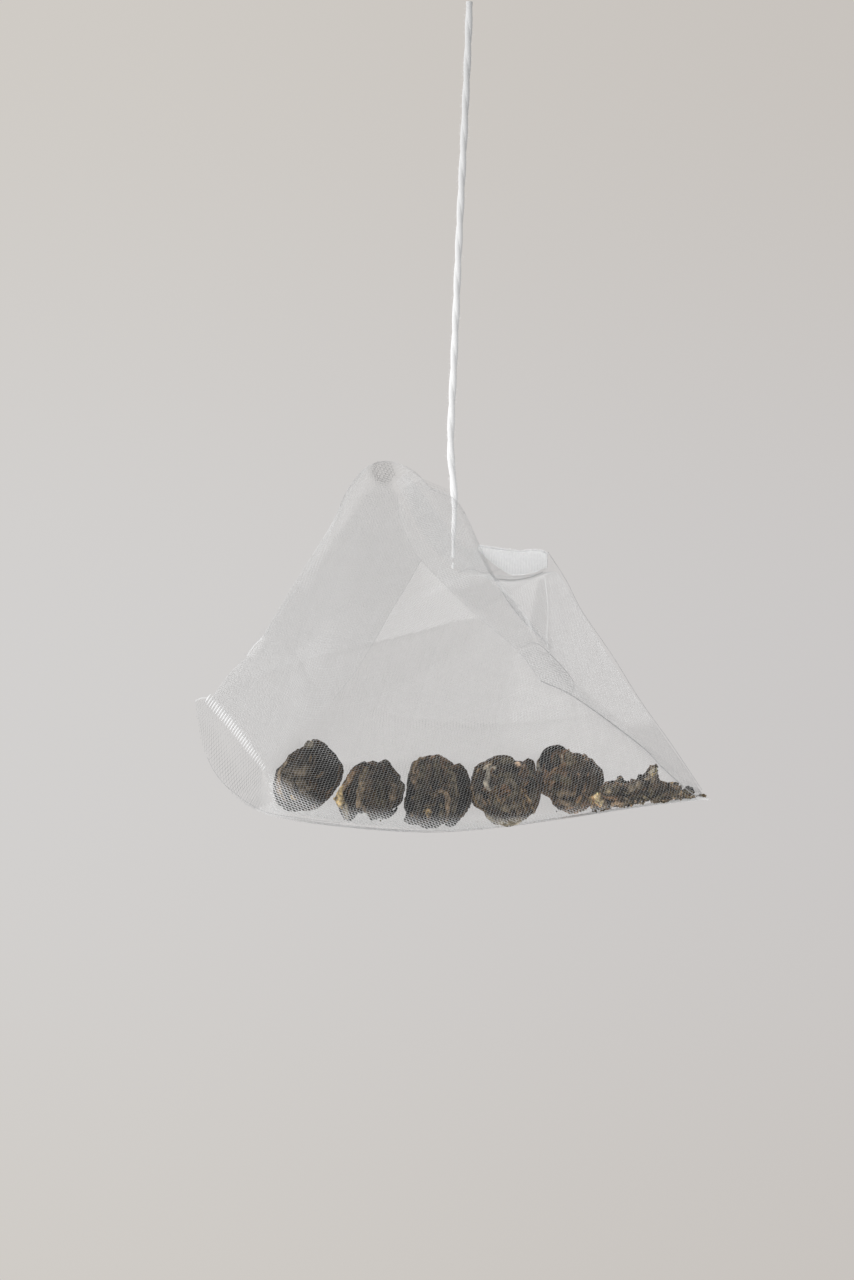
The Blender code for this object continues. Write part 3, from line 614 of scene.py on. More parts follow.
def thread_mesh(name, centres, normals, inside, half, tone):
    """Threads along the second axis of an array of centres, each with a ridged section."""
    run = np.gradient(centres, axis=1)
    side = np.cross(run, normals)
    side /= np.maximum(np.linalg.norm(side, axis=-1, keepdims=True), 1e-12)
    half = np.broadcast_to(half, centres.shape[:2])[..., None]
    corners = [centres - half * side, centres + half * 0.9 * normals, centres + half * side]
    points = np.stack(corners, axis=2).reshape(-1, 3)
    here = np.arange(len(points)).reshape(*centres.shape[:2], 3)
    kept = inside[:, :-1] & inside[:, 1:]
    start, stop = here[:, :-1][kept], here[:, 1:][kept]
    sides = [np.stack([start[:, n], stop[:, n], stop[:, n + 1], start[:, n + 1]], axis=-1) for n in (0, 1)]
    faces = np.concatenate(sides)
    used, faces = np.unique(faces, return_inverse=True)
    mesh = raw_mesh(name, points[used], faces.reshape(-1, 4))
    tones = np.repeat(tone.reshape(-1), 3)[used]
    put_colour(mesh, "tone", tones[:, None] * np.ones(3))
    mesh.shade_smooth()
    return mesh


def woven(name, places, normals, inside, over, tone, material, half=THREAD_HALF, parts=1):
    """Warp and weft threads of a woven sheet, as pieces on the bag."""
    pieces = []
    lift = (over * WEAVE_LIFT)[..., None] * normals
    for kind, sign in (("warp", 1), ("weft", -1)):
        arrays = [places + sign * lift, normals, inside, np.broadcast_to(half, inside.shape), tone]
        if kind == "weft":
            arrays = [np.swapaxes(array, 0, 1) for array in arrays]
        filled = np.cumsum(arrays[2].sum(axis=1))
        cuts = np.searchsorted(filled, np.linspace(0, filled[-1], parts + 1)[1:-1])
        starts = [0, *cuts, len(filled)]
        for part, (first, last) in enumerate(zip(starts, starts[1:])):
            label = f"{name}_{kind}_{part + 1}"
            centres, outward, kept, width, shade = (array[first:last] for array in arrays)
            mesh = thread_mesh(label, centres, outward, kept, width, shade)
            pieces.append(new_piece(label, mesh, material))
    return pieces


def new_piece(name, mesh, material):
    """Object of a mesh that rides on the bag."""
    thing = bpy.data.objects.new(name, mesh)
    bpy.context.scene.collection.objects.link(thing)
    mesh.materials.clear()
    mesh.materials.append(material)
    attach(thing, "root")
    return thing


def node_maker(material):
    """Short way to add and wire shader nodes of a material."""
    tree = material.node_tree

    def add(kind, **values):
        node = tree.nodes.new(kind)
        inputs = values.pop("inputs", {})
        for key, value in values.items():
            setattr(node, key, value)
        for key, value in inputs.items():
            if isinstance(value, bpy.types.NodeSocket):
                tree.links.new(value, node.inputs[key])
            else:
                node.inputs[key].default_value = value
        return node

    return tree, add


def principled(name, color, roughness, **extra):
    """Material with one Principled shader, its tree and the shader."""
    material = bpy.data.materials.new(name)
    material.use_nodes = True
    shader = material.node_tree.nodes["Principled BSDF"]
    shader.inputs["Base Color"].default_value = (*color, 1)
    shader.inputs["Roughness"].default_value = roughness
    for key, value in extra.items():
        shader.inputs[key.replace("_", " ")].default_value = value
    return material, shader


def tea_leaf_material():
    """Dry tea leaf: colour from the mesh, fine wrinkles, faint dry sheen."""
    material, shader = principled("tea leaf", (0.05, 0.04, 0.03), 0.7, Specular_IOR_Level=0.15)
    tree, add = node_maker(material)
    colour = add("ShaderNodeAttribute", attribute_name="leaf")
    place = add("ShaderNodeTexCoord")
    grain = add("ShaderNodeTexNoise", inputs={"Vector": place.outputs["Object"], "Scale": 2300.0, "Detail": 6.0})
    bump = add("ShaderNodeBump", inputs={"Height": grain.outputs[0], "Strength": 0.8, "Distance": 0.0002})
    blotch = add("ShaderNodeTexNoise", inputs={"Vector": place.outputs["Object"], "Scale": 1300.0, "Detail": 4.0})
    level = add("ShaderNodeMapRange", inputs={
        "Value": blotch.outputs[0], "From Min": 0.35, "From Max": 0.68, "To Min": 0.22, "To Max": 1.75,
    })
    shade = add("ShaderNodeVectorMath", operation="SCALE", inputs={0: colour.outputs["Color"], "Scale": level.outputs[0]})
    tree.links.new(bump.outputs[0], shader.inputs["Normal"])
    tree.links.new(shade.outputs[0], shader.inputs["Base Color"])
    return material


def sphere_directions(cuts):
    """Directions and quads of a round grid with even cells."""
    bm = bmesh.new()
    bmesh.ops.create_cube(bm, size=2.0)
    bmesh.ops.subdivide_edges(bm, edges=bm.edges[:], cuts=cuts - 1, use_grid_fill=True)
    points = np.array([v.co for v in bm.verts])
    faces = np.array([[v.index for v in f.verts] for f in bm.faces])
    bm.free()
    points = np.tan(points * math.pi / 4)
    return points / np.linalg.norm(points, axis=1, keepdims=True), faces


def value_noise(points, scale, seed):
    """Smooth noise from -1 to 1 at an array of points."""
    shift = Vector((seed * 7.31, seed * 3.17, seed * 5.77))
    return np.array([noise.noise(Vector(p) * scale + shift) for p in points])


def leaf_layers(directions, seed, leaves):
    """Height of overlapping leaf strips wound round a ball, which strip shows, and where across it."""
    rng = np.random.default_rng(seed)
    ripple = value_noise(directions, 3.4, seed + 50)
    height = 0.10 + 0.08 * value_noise(directions, 2.2, seed)
    shown = np.zeros(len(directions), int)
    across_shown = np.zeros(len(directions))
    for leaf in range(leaves):
        axis = rng.normal(size=3)
        axis /= np.linalg.norm(axis)
        first = np.cross(axis, rng.normal(size=3))
        first /= np.linalg.norm(first)
        along = np.arctan2(directions @ np.cross(axis, first), directions @ first)
        half = rng.uniform(0.13, 0.28)
        bend = rng.uniform(0.1, 0.3) * np.sin(along * rng.uniform(0.8, 1.6) + rng.uniform(0, 6))
        across = (directions @ axis - rng.uniform(-0.45, 0.45) - bend) / half + 0.3 * ripple
        taper = np.clip(1.0 - (np.abs(along) / rng.uniform(0.8, 1.7)) ** 6, 0, 1)
        body = np.clip(1 - across**2, 0, 1) ** 0.35 * taper
        rim = 0.35 * np.exp(-(((np.abs(across) - 0.8) / 0.13) ** 2)) * taper
        veins = 0.12 * np.sin(across * rng.uniform(7, 12) + 2.5 * ripple + rng.uniform(0, 6)) * body
        level = 0.1 + 0.55 * leaf / leaves + 0.40 * body + rim + veins
        over = (np.abs(across) < 1.0) & (taper > 0) & (level > height)
        height = np.where(over, level, height)
        shown = np.where(over, leaf + 1, shown)
        across_shown = np.where(over, across, across_shown)
    return height / height.max(), shown, across_shown


def spread(values, faces, times):
    """Values smoothed over neighbouring corners of the faces."""
    count = np.bincount(faces.ravel(), minlength=len(values))
    for _ in range(times):
        mean = values[faces].mean(axis=1)
        total = np.zeros(len(values))
        for corner in range(faces.shape[1]):
            total += np.bincount(faces[:, corner], weights=mean, minlength=len(values))
        values = total / count
    return values


def outline_radius(outline, angle):
    """Distance of an outline from its centre at an array of angles."""
    points = np.array(outline)
    angles = np.arctan2(points[:, 1], points[:, 0])
    order = np.argsort(angles)
    return np.interp(angle, angles[order], np.hypot(points[:, 0], points[:, 1])[order], period=2 * np.pi) * MM


def ball_places(directions, outline, depth):
    """Places on a ball whose outline from the front is given, at an array of directions."""
    angle = np.arctan2(directions[..., 2], directions[..., 0])
    flat = np.hypot(directions[..., 0], directions[..., 2])
    radius = outline_radius(outline, angle)
    return np.stack([
        np.cos(angle) * flat * radius, directions[..., 1] * depth * MM, np.sin(angle) * flat * radius,
    ], axis=-1)


def front_directions(path, outline):
    """Directions of a path seen from the front on a ball with this outline."""
    points = np.array(path, float)
    reach = np.hypot(points[:, 0], points[:, 1]) * MM
    angle = np.arctan2(points[:, 1], points[:, 0])
    flat = np.minimum(reach / outline_radius(outline, angle), 0.97)
    return np.stack([np.cos(angle) * flat, -np.sqrt(1 - flat**2), np.sin(angle) * flat], axis=1)


def leaf_strip(path, outline, depth, half, lift, tints, seed):
    """Grid of places, and colours, of a curled strip of leaf that lies along a path on a ball."""
    rng = np.random.default_rng(seed)
    along = np.linspace(0, 1, STRIP_STEPS)
    directions = curve_at(curve_table([tuple(d) for d in path]), along)
    directions /= np.linalg.norm(directions, axis=1, keepdims=True)
    centre = ball_places(directions, outline, depth) * 0.93
    run = np.gradient(centre, axis=0)
    side = np.cross(run, directions)
    side /= np.linalg.norm(side, axis=1, keepdims=True)
    across = np.linspace(-1, 1, STRIP_ACROSS)
    wave = 1 + 0.16 * np.sin(along * rng.uniform(9, 16) + rng.uniform(0, 6))
    width = half * MM * np.clip(np.sin(np.pi * along), 0.02, 1) ** 0.4 * wave
    curl = rng.choice((-1.0, 1.0)) * 0.8
    arch = 1 - np.abs(across) ** 2.5
    rim = 0.6 * np.exp(-(((across - curl) / 0.2) ** 2))
    veins = 0.10 * np.sin(across * rng.uniform(7, 11) + rng.uniform(0, 6))
    creases = 0.12 * np.sin(along * rng.uniform(18, 30) + rng.uniform(0, 6))[:, None] * across[None, :]
    rise = (arch + rim + veins)[None, :] + creases
    rise = rise * np.clip(np.sin(np.pi * along), 0.05, 1)[:, None] ** 0.5 - 0.25
    places = centre[:, None] + side[:, None] * (width[:, None] * across)[..., None]
    places = places + directions[:, None] * (rise * lift * MM)[..., None]
    first, last = (np.array(tint) for tint in tints)
    colour = first + (last - first) * along[:, None, None]
    streak = 1 + 0.28 * np.sin(across * 13 + rng.uniform(0, 6)) + 0.12 * rng.normal(size=len(across))
    mottle = 1 + 0.2 * np.sin(along * 23 + rng.uniform(0, 6))
    # Painted light and shade: the strip's raised parts lighter, its low parts darker
    shade = np.clip(0.25 + 0.85 * (rise + 0.25), 0.15, 1.6)
    return places, colour * (streak[None, :] * mottle[:, None] * shade)[..., None]


def hidden_path(rng):
    """Path of a leaf strip round the sides and back of a ball."""
    start = rng.normal(size=3)
    start /= np.linalg.norm(start)
    start[1] = abs(start[1]) + 0.25
    turn = np.cross(start, rng.normal(size=3))
    turn /= np.linalg.norm(turn)
    sweep = rng.uniform(0.5, 1.3)
    return [start / np.linalg.norm(start) + turn * sweep * t + np.cross(start, turn) * 0.3 * t * t for t in (-0.5, 0, 0.5)]


def ridge_path(rng, outline):
    """Path of a thin ridge of leaf on the front of a ball, mostly upright."""
    reach = np.array(outline)
    middle = rng.uniform(-0.62, 0.62, 2) * np.abs(reach).max(axis=0)
    run = np.array((rng.normal(0, 0.45), 1.0)) * rng.uniform(0.6, 1.5)
    bow = rng.uniform(-0.35, 0.35)
    return front_directions([middle - run, middle + (bow, 0.0), middle + run], outline)


def rolled_leaf(name, centre, depth, seed, outline, strips, grid, leaves, hidden, ridges, tint_by):
    """Ball of rolled leaves with the outline that is seen from the front."""
    directions, faces = sphere_directions(grid)
    height, shown, across = leaf_layers(directions, seed, leaves)
    fine = value_noise(directions, 9.0, seed + 9)
    scale = 1 - LEAF_DEPTH * (1 - height) + 0.018 * fine
    places = ball_places(directions, outline, depth) * scale[:, None]
    cavity = height - spread(height, faces, 10)
    rng = np.random.default_rng(seed + 100)
    tints = np.array(LEAF_TINTS)[rng.integers(0, len(LEAF_TINTS), leaves + 1)]
    colour = tints[shown] * (1 + 0.3 * np.sin(across * 15 + 3 * fine))[:, None]
    edge = np.clip((np.abs(across) - 0.72) / 0.28, 0, 1)[:, None]
    colour = colour * (1 - 0.4 * edge) + np.array(ASH) * 0.4 * edge
    # Painted shade: hollows between the leaves darker, raised leaf lighter
    colour *= np.clip(1 + 6.0 * cavity, 0.15, 1.7)[:, None]
    points, quads, colours = [places], [faces], [colour * tint_by]
    count = len(places)
    laid = [(front_directions(path, outline), half, lift, tints) for path, half, lift, *tints in strips]
    for _ in range(ridges):
        pair = (LEAF_TINTS[rng.integers(0, 7)], (ASH, BROWN, OLIVE, OLIVE)[rng.integers(0, 4)])
        laid.append((ridge_path(rng, outline), rng.uniform(0.12, 0.28), rng.uniform(0.25, 0.45), pair))
    for _ in range(hidden):
        pair = (LEAF_TINTS[rng.integers(0, 7)], LEAF_TINTS[rng.integers(0, 7)])
        laid.append((hidden_path(rng), rng.uniform(0.4, 0.9), rng.uniform(0.3, 0.55), pair))
    for number, (path, half, lift, pair) in enumerate(laid):
        strip, tint = leaf_strip(path, outline, depth, half, lift, pair, seed * 31 + number)
        if number >= len(strips):
            tint = tint * tint_by
        here = count + np.arange(STRIP_STEPS * STRIP_ACROSS).reshape(STRIP_STEPS, STRIP_ACROSS)
        cells = np.stack([here[:-1, :-1], here[:-1, 1:], here[1:, 1:], here[1:, :-1]], axis=-1)
        points.append(strip.reshape(-1, 3))
        quads.append(cells.reshape(-1, 4))
        colours.append(tint.reshape(-1, 3))
        count += strip.size // 3
    mesh = raw_mesh(name, np.vstack(points) + np.array(centre) * MM, np.vstack(quads))
    put_colour(mesh, "leaf", np.clip(np.vstack(colours), 0.003, 0.9))
    mesh.shade_smooth()
    return mesh


def put_colour(mesh, name, colour):
    """Colour attribute of a mesh from an array with one row a vertex."""
    layer = mesh.color_attributes.new(name, "FLOAT_COLOR", "POINT")
    values = np.ones((len(mesh.vertices), 4), np.float32)
    values[:, :3] = colour
    layer.data.foreach_set("color", values.ravel())


def build_tea():
    """Five rolled pearls in a row, and the broken leaf and dust beside them."""
    material = tea_leaf_material()
    for name, (centre, depth, seed, outline) in PEARLS.items():
        mesh = rolled_leaf(
            name + "_leaves", centre, depth, seed, outline, STRIPS[name], PEARL_GRID, 18, HIDDEN_STRIPS, RIDGES,
            PEARL_TINTS[name],
        )
        pearl = new_piece(name + "_leaves", mesh, material)
        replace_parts(pearl, name)
    for name, (centre, half, slope, seed, tint) in (CRUMBS | LOOSE_LEAF).items():
        rng = np.random.default_rng(seed)
        turn = math.radians(slope)
        outline = []
        for step in range(18):
            angle = 2 * math.pi * step / 18
            reach = rng.uniform(0.72, 1.12)
            x, z = half[0] * math.cos(angle) * reach, half[2] * math.sin(angle) * reach
            outline.append((x * math.cos(turn) - z * math.sin(turn), x * math.sin(turn) + z * math.cos(turn)))
        reach = half[0] * 0.8
        path = ((-reach * math.cos(turn), -reach * math.sin(turn)), (0.0, 0.1), (reach * math.cos(turn), reach * math.sin(turn)))
        strips = [(path, half[2] * 0.45, 0.35, tint, tint)]
        tint_by = CRUMB_TINT if name in CRUMBS else FLAKE_TINT
        mesh = rolled_leaf(name + "_leaves", centre, half[1], seed, outline, strips, 18, 9, 3, 0, tint_by)
        crumb = new_piece(name + "_leaves", mesh, material)
        if name in CRUMBS:
            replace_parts(crumb, name)
    new_piece("tea_dust", dust_mesh(), material)
    new_piece("tea_litter", litter_mesh(), material)


def litter_mesh():
    """Broken flakes heaped along the seal, right of the pearls."""
    rng = np.random.default_rng(311)
    tops, bottoms = np.array(LITTER_TOPS, float), np.array(LITTER_BOTTOMS, float)
    across = rng.uniform(bottoms[0, 0], bottoms[-1, 0], LITTER_FLAKES)
    top = np.interp(across, tops[:, 0], tops[:, 1])
    bottom = np.interp(across, bottoms[:, 0], bottoms[:, 1])
    size = rng.uniform(0.2, 0.75, LITTER_FLAKES) * MM * np.clip((bottom - top) / 14, 0.35, 1)
    reach = size / PIXEL * 0.6
    down = bottom - reach - rng.uniform(0, 1, LITTER_FLAKES) * np.maximum(bottom - top - 2 * reach, 0)
    depth = rng.uniform(-1.0, 1.0, LITTER_FLAKES) * MM * np.clip((bottom - top) / 16, 0.15, 1)
    return flakes_mesh("tea_litter", placed(np.stack([across, down], axis=1), depth), size, rng, 3.1)


def dust_mesh():
    """Small broken specks along the seal, thickest towards the right corner and caught in its tip."""
    rng = np.random.default_rng(77)
    seal = curve_table(BOTTOM_SEAL)
    share = np.concatenate([rng.uniform(0.74, 0.955, DUST_SPECKS), rng.uniform(0.968, 1.0, 70), rng.uniform(0.3, 0.74, 10)])
    size = rng.uniform(0.10, 0.34, len(share)) * MM
    size[DUST_SPECKS:] *= 0.7
    centres = curve_at(seal, share)
    room = np.where(share < 0.96, 1.0, 0.12)
    centres[:, 1] += rng.uniform(-0.9, 0.9, len(share)) * MM * room
    centres[:, 2] += (0.5 + rng.uniform(0, 1.3, len(share)) * room) * MM * np.where(share < 0.96, 1.0, 0.35)
    return flakes_mesh("tea_dust", centres, size, rng, 2.0)


def flakes_mesh(name, centres, size, rng, brightest):
    """Small angular flakes at given places."""
    corners = np.array([(x, y, z) for z in (-1, 1) for x, y in ((-1, -1), (1, -1), (1, 1), (-1, 1))], float)
    sides = np.array([(0, 3, 2, 1), (4, 5, 6, 7), (0, 1, 5, 4), (1, 2, 6, 5), (2, 3, 7, 6), (3, 0, 4, 7)])
    points, faces, colours = [], [], []
    for number, (centre, reach) in enumerate(zip(centres, size)):
        turn = np.linalg.qr(rng.normal(size=(3, 3)))[0]
        flake = (corners * rng.uniform(0.35, 1.0, (8, 3)) * (1.0, 0.7, 0.45)) @ turn * reach
        points.append(flake + centre)
        faces.append(sides + 8 * number)
        tint = np.array(FLAKE_TINTS[rng.integers(0, 8)]) * rng.uniform(0.8, brightest)
        colours.append(np.tile(tint, (8, 1)))
    mesh = raw_mesh(name, np.vstack(points), np.vstack(faces))
    put_colour(mesh, "leaf", np.vstack(colours))
    return mesh


def thread_material():
    """Fine white thread, its brightness from the mesh's tone, which holds painted light and shade."""
    material, shader = principled("film thread", (0.5, 0.5, 0.5), 0.35)
    tree, add = node_maker(material)
    tone = add("ShaderNodeAttribute", attribute_name="tone")
    tree.links.new(tone.outputs["Color"], shader.inputs["Base Color"])
    return material


def skin_material():
    """Faint haze of the film between its threads."""
    material, shader = principled("film haze", (0.62, 0.62, 0.62), 0.5, Alpha=SKIN_ALPHA)
    return material


def fused_material():
    """White film melted together at a seal."""
    material, shader = principled(
        "fused film", (0.93, 0.93, 0.92), 0.55, Subsurface_Weight=1.0, Subsurface_Scale=0.001,
        Subsurface_Radius=(1.0, 1.0, 1.0),
    )
    tree, add = node_maker(material)
    place = add("ShaderNodeTexCoord")
    grain = add("ShaderNodeTexNoise", inputs={"Vector": place.outputs["Object"], "Scale": 3000.0, "Detail": 4.0})
    bump = add("ShaderNodeBump", inputs={"Height": grain.outputs[0], "Strength": 0.8, "Distance": 0.0001})
    # The tone from the mesh carries the slab's painted light.
    tone = add("ShaderNodeAttribute", attribute_name="tone")
    cloud = add("ShaderNodeTexNoise", inputs={"Vector": place.outputs["Object"], "Scale": 2600.0, "Detail": 3.0})
    level = add("ShaderNodeMapRange", inputs={
        "Value": cloud.outputs[0], "From Min": 0.3, "From Max": 0.7, "To Min": 0.90, "To Max": 1.04,
    })
    shade = add("ShaderNodeVectorMath", operation="SCALE", inputs={0: tone.outputs["Color"], "Scale": level.outputs[0]})
    tree.links.new(bump.outputs[0], shader.inputs["Normal"])
    tree.links.new(shade.outputs[0], shader.inputs["Base Color"])
    return material


def cotton_material(name, varies):
    """White cotton with fine fibres, its brightness from the mesh's painted light where it varies."""
    material, shader = principled(name, (0.78, 0.78, 0.785), 0.85, Specular_IOR_Level=0.2)
    tree, add = node_maker(material)
    if varies:
        tone = add("ShaderNodeAttribute", attribute_name="tone")
        tree.links.new(tone.outputs["Color"], shader.inputs["Base Color"])
    place = add("ShaderNodeTexCoord")
    grain = add("ShaderNodeTexNoise", inputs={"Vector": place.outputs["Object"], "Scale": 5200.0, "Detail": 3.0})
    bump = add("ShaderNodeBump", inputs={"Height": grain.outputs[0], "Strength": 0.5, "Distance": 0.00005})
    tree.links.new(bump.outputs[0], shader.inputs["Normal"])
    return material


def smooth_step(value, low, high):
    """Smooth change from 0 to 1 between two values."""
    t = np.clip((value - low) / (high - low), 0, 1)
    return t * t * (3 - 2 * t)


def seen(points):
    """Pixels of the photograph's frame where points are seen."""
    scale = CAMERA_DISTANCE / (CAMERA_DISTANCE + points[..., 1]) / PIXEL
    across = (points[..., 0] - VIEW_CENTRE[0]) * scale + PHOTO_SIZE[0] / 2
    down = (VIEW_CENTRE[2] - points[..., 2]) * scale + PHOTO_SIZE[1] / 2
    return np.stack([across, down], axis=-1)


def placed(pixels, depth):
    """Points at given depths that are seen at pixels of the photograph's frame."""
    scale = (CAMERA_DISTANCE + depth) / CAMERA_DISTANCE * PIXEL
    x = VIEW_CENTRE[0] + (pixels[..., 0] - PHOTO_SIZE[0] / 2) * scale
    z = VIEW_CENTRE[2] - (pixels[..., 1] - PHOTO_SIZE[1] / 2) * scale
    return np.stack([x, depth + 0 * x, z], axis=-1)


def within(pixels, outline):
    """Which pixels lie inside an outline."""
    inside = np.zeros(pixels.shape[:-1], bool)
    for (ax, ay), (bx, by) in zip(outline, outline[1:] + outline[:1]):
        if ay == by:
            continue
        spans = (pixels[..., 1] > min(ay, by)) & (pixels[..., 1] <= max(ay, by))
        meets = ax + (pixels[..., 1] - ay) * (bx - ax) / (by - ay)
        inside ^= spans & (pixels[..., 0] < meets)
    return inside


def film_tone(places):
    """Painted light and shade of the threads over the film: folded flanks darker, the lit inner wall brighter."""
    pixels = seen(places)
    factor = np.ones(places.shape[:-1])
    for outline, level, softness in TONES:
        weight = within(pixels, outline).astype(float)
        if softness:
            away = outline_distance(pixels, outline) * (2 * weight - 1)
            weight = smooth_step(away, -softness / 2, softness / 2)
        factor += (level - factor) * weight
    rng = np.random.default_rng(13)
    rows = rng.normal(0, THREAD_VARIETY, (factor.shape[0], 1))
    columns = rng.normal(0, THREAD_VARIETY, (1, factor.shape[1]))
    return np.clip(BASE_TONE * factor * (1 + rows + columns), 0, 0.98)


def outline_distance(pixels, outline):
    """Distance of pixels from an outline."""
    best = np.full(pixels.shape[:-1], np.inf)
    for start, stop in zip(outline, outline[1:] + outline[:1]):
        start, run = np.array(start, float), np.array(stop, float) - start
        offset = pixels - start
        t = np.clip(offset @ run / (run @ run), 0, 1)
        best = np.minimum(best, np.hypot(*np.moveaxis(offset - t[..., None] * run, -1, 0)))
    return best


def near_side(grid, normal):
    """Search tree of the nearer side of the film in pixels, and the depths of its points."""
    points = grid[normal[..., 1] < -0.1]
    pixels = seen(points)
    tree = kdtree.KDTree(len(points))
    for number, (across, down) in enumerate(pixels):
        tree.insert((across, down, 0), number)
    tree.balance()
    return tree, points[:, 1]


def depth_behind(side, pixels):
    """Depth of the nearer side of the film at pixels."""
    tree, depths = side
    flat = pixels.reshape(-1, 2)
    found = np.zeros(len(flat))
    for number, (across, down) in enumerate(flat):
        close = tree.find_n((across, down, 0), 4)
        found[number] = min(depths[index] for _, index, _ in close)
    return found.reshape(pixels.shape[:-1])


def smooth_path(pixels, steps):
    """Even steps along a smooth path in pixels, and the directions square to it."""
    table = curve_table([(across, down, 0) for across, down in pixels])
    path = curve_at(table, np.linspace(0, 1, steps))[:, :2] / MM
    run = np.gradient(path, axis=0)
    run /= np.linalg.norm(run, axis=1, keepdims=True)
    return path, np.stack([-run[:, 1], run[:, 0]], axis=1)


def folded_layer(name, outline, depth_at, shade, material, growth=0):
    """A layer of weave inside an outline in pixels; with growth its threads widen below the veil's top."""
    corners = np.array(outline, float)
    low = corners.min(axis=0)
    width, length = (corners.max(axis=0) - low) * PIXEL
    places, inside, over = lattice(width, length)
    pixels = low + places / PIXEL
    inside &= within(pixels, outline)
    inside_or_beside = inside.copy()
    inside_or_beside[1:] |= inside[:-1]
    inside_or_beside[:-1] |= inside[1:]
    depth = np.zeros(inside.shape)
    depth[inside_or_beside] = depth_at(pixels[inside_or_beside])
    centres = placed(pixels, depth)
    normals = np.broadcast_to((0.0, -1.0, 0.0), centres.shape)
    tone = np.full(inside.shape, BASE_TONE * shade)
    fade = smooth_step(outline_distance(pixels, VEIL_TOP + VEIL_TOP[-2:0:-1]), 0, VEIL_FADE)
    half = THREAD_HALF * (1 + growth * fade) * (fade if growth else 1)
    return woven(name, centres, normals, inside, over, tone, material, half)


def fold_edge(name, side, pixels, count, shade, material):
    """Threads bunched side by side where a fold is seen edge on, their tone painting the fold's shade or highlight."""
    path, square = smooth_path(pixels, 90)
    steps = (np.arange(count) - (count - 1) / 2) * FOLD_EDGE_STEP / PIXEL
    spots = path[None] + square[None] * steps[:, None, None]
    depth = depth_behind(side, path)
    centres = placed(spots, np.broadcast_to(depth, spots.shape[:-1]) - 0.05 * MM)
    normals = np.broadcast_to((0.0, -1.0, 0.0), centres.shape)
    inside = np.ones(centres.shape[:-1], bool)
    tone = np.full(inside.shape, min(BASE_TONE * shade, 0.98))
    mesh = thread_mesh(name, centres, normals, inside, THREAD_HALF, tone)
    return new_piece(name, mesh, material)


def ladder(side, material):
    """Short bright rungs where the weave crosses the end of the bottom seal, a painted highlight on the fold."""
    path, square = smooth_path(LADDER, LADDER_RUNGS)
    reach = np.linspace(-1, 1, 6) * LADDER_REACH / PIXEL
    fade = np.sin(np.linspace(0.25, 0.93, LADDER_RUNGS) * np.pi) ** 0.5
    lean = np.array(LADDER_LEAN) - square * 0.3
    spots = path[:, None] + lean[:, None] * (reach[None] * fade[:, None])[..., None]
    depth = depth_behind(side, path)[:, None] - 0.1 * MM
    centres = placed(spots, np.broadcast_to(depth, spots.shape[:-1]))
    normals = np.broadcast_to((0.0, -1.0, 0.0), centres.shape)
    inside = np.ones(centres.shape[:-1], bool)
    half = LADDER_HALF * (1 - 0.8 * np.abs(np.linspace(-1, 1, 6)))[None] * fade[:, None]
    mesh = thread_mesh("ladder_rungs", centres, normals, inside, half, np.full(inside.shape, 0.97))
    return new_piece("ladder_rungs", mesh, material)


def build_folds(grid, normal, material):
    """Layers folded in behind the near wall and the painted shade at the peak, edges of folds with their painted shade
    and highlights, and the painted highlight of the ladder at the left end.
    """
    side = near_side(grid, normal)
    pieces = []
    for name, (outline, shade, behind, growth) in FOLDED_LAYERS.items():
        pieces += folded_layer(
            name, outline, lambda p, b=behind: depth_behind(side, p) + b, shade, material, growth,
        )
    pieces += folded_layer("corner_patch", CORNER_PATCH, lambda p: CORNER_DEPTH, 1.1, material)
    for name, (pixels, count, shade) in FOLD_EDGES.items():
        pieces.append(fold_edge(name, side, pixels, count, shade, material))
    pieces.append(ladder(side, material))
    return pieces


def build_film(grid, normal):
    """The woven film of the bag, its threads over and under each other, and the haze between them."""
    material = thread_material()
    places, inside, over = lattice(FILM_WIDTH, FILM_LENGTH)
    u, v = places[..., 0] / FILM_WIDTH, np.clip(places[..., 1] / FILM_LENGTH, 0, 1)
    centres, normals = sample(grid, u, v), sample(normal, u, v)
    normals /= np.maximum(np.linalg.norm(normals, axis=-1, keepdims=True), 1e-12)
    tone = film_tone(centres)
    threads = woven("film", centres, normals, inside, over, tone, material, parts=2)
    haze = grid_mesh("film_haze", grid[::4, ::4], closed=True)
    haze.shade_smooth()
    skin = new_piece("film_haze", haze, skin_material())
    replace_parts(skin, "mesh_bag")
    fins = build_fins(material)
    folds = build_folds(grid, normal, material)


def ruled(first, second, along, across):
    """Places between two curves, at shares along them and across."""
    a, b = curve_at(curve_table(first), along), curve_at(curve_table(second), along)
    return a + (b - a) * across[..., None]


def fin_level(along, edge):
    """Shares of the top fin's width where an edge drawn on the photograph meets it."""
    foot = seen(ruled(TOP_SEAL, TOP_FIN_EDGE, along, 0 * along))
    tip = seen(ruled(TOP_SEAL, TOP_FIN_EDGE, along, 0 * along + 1))
    wanted = np.interp(tip[..., 0], *zip(*edge))
    return (wanted - foot[..., 1]) / (tip[..., 1] - foot[..., 1])


def top_fin_tone(along, centres):
    """Tone of the top fin's threads, near white where they are melted together, elsewhere the film's painted light and
    shade, a little brighter.
    """
    melted = within(seen(centres), CRESCENT_TOP + CRESCENT_BOTTOM[::-1])
    return np.where((along > 0.58) & melted, 0.85, 1.1 * film_tone(centres))


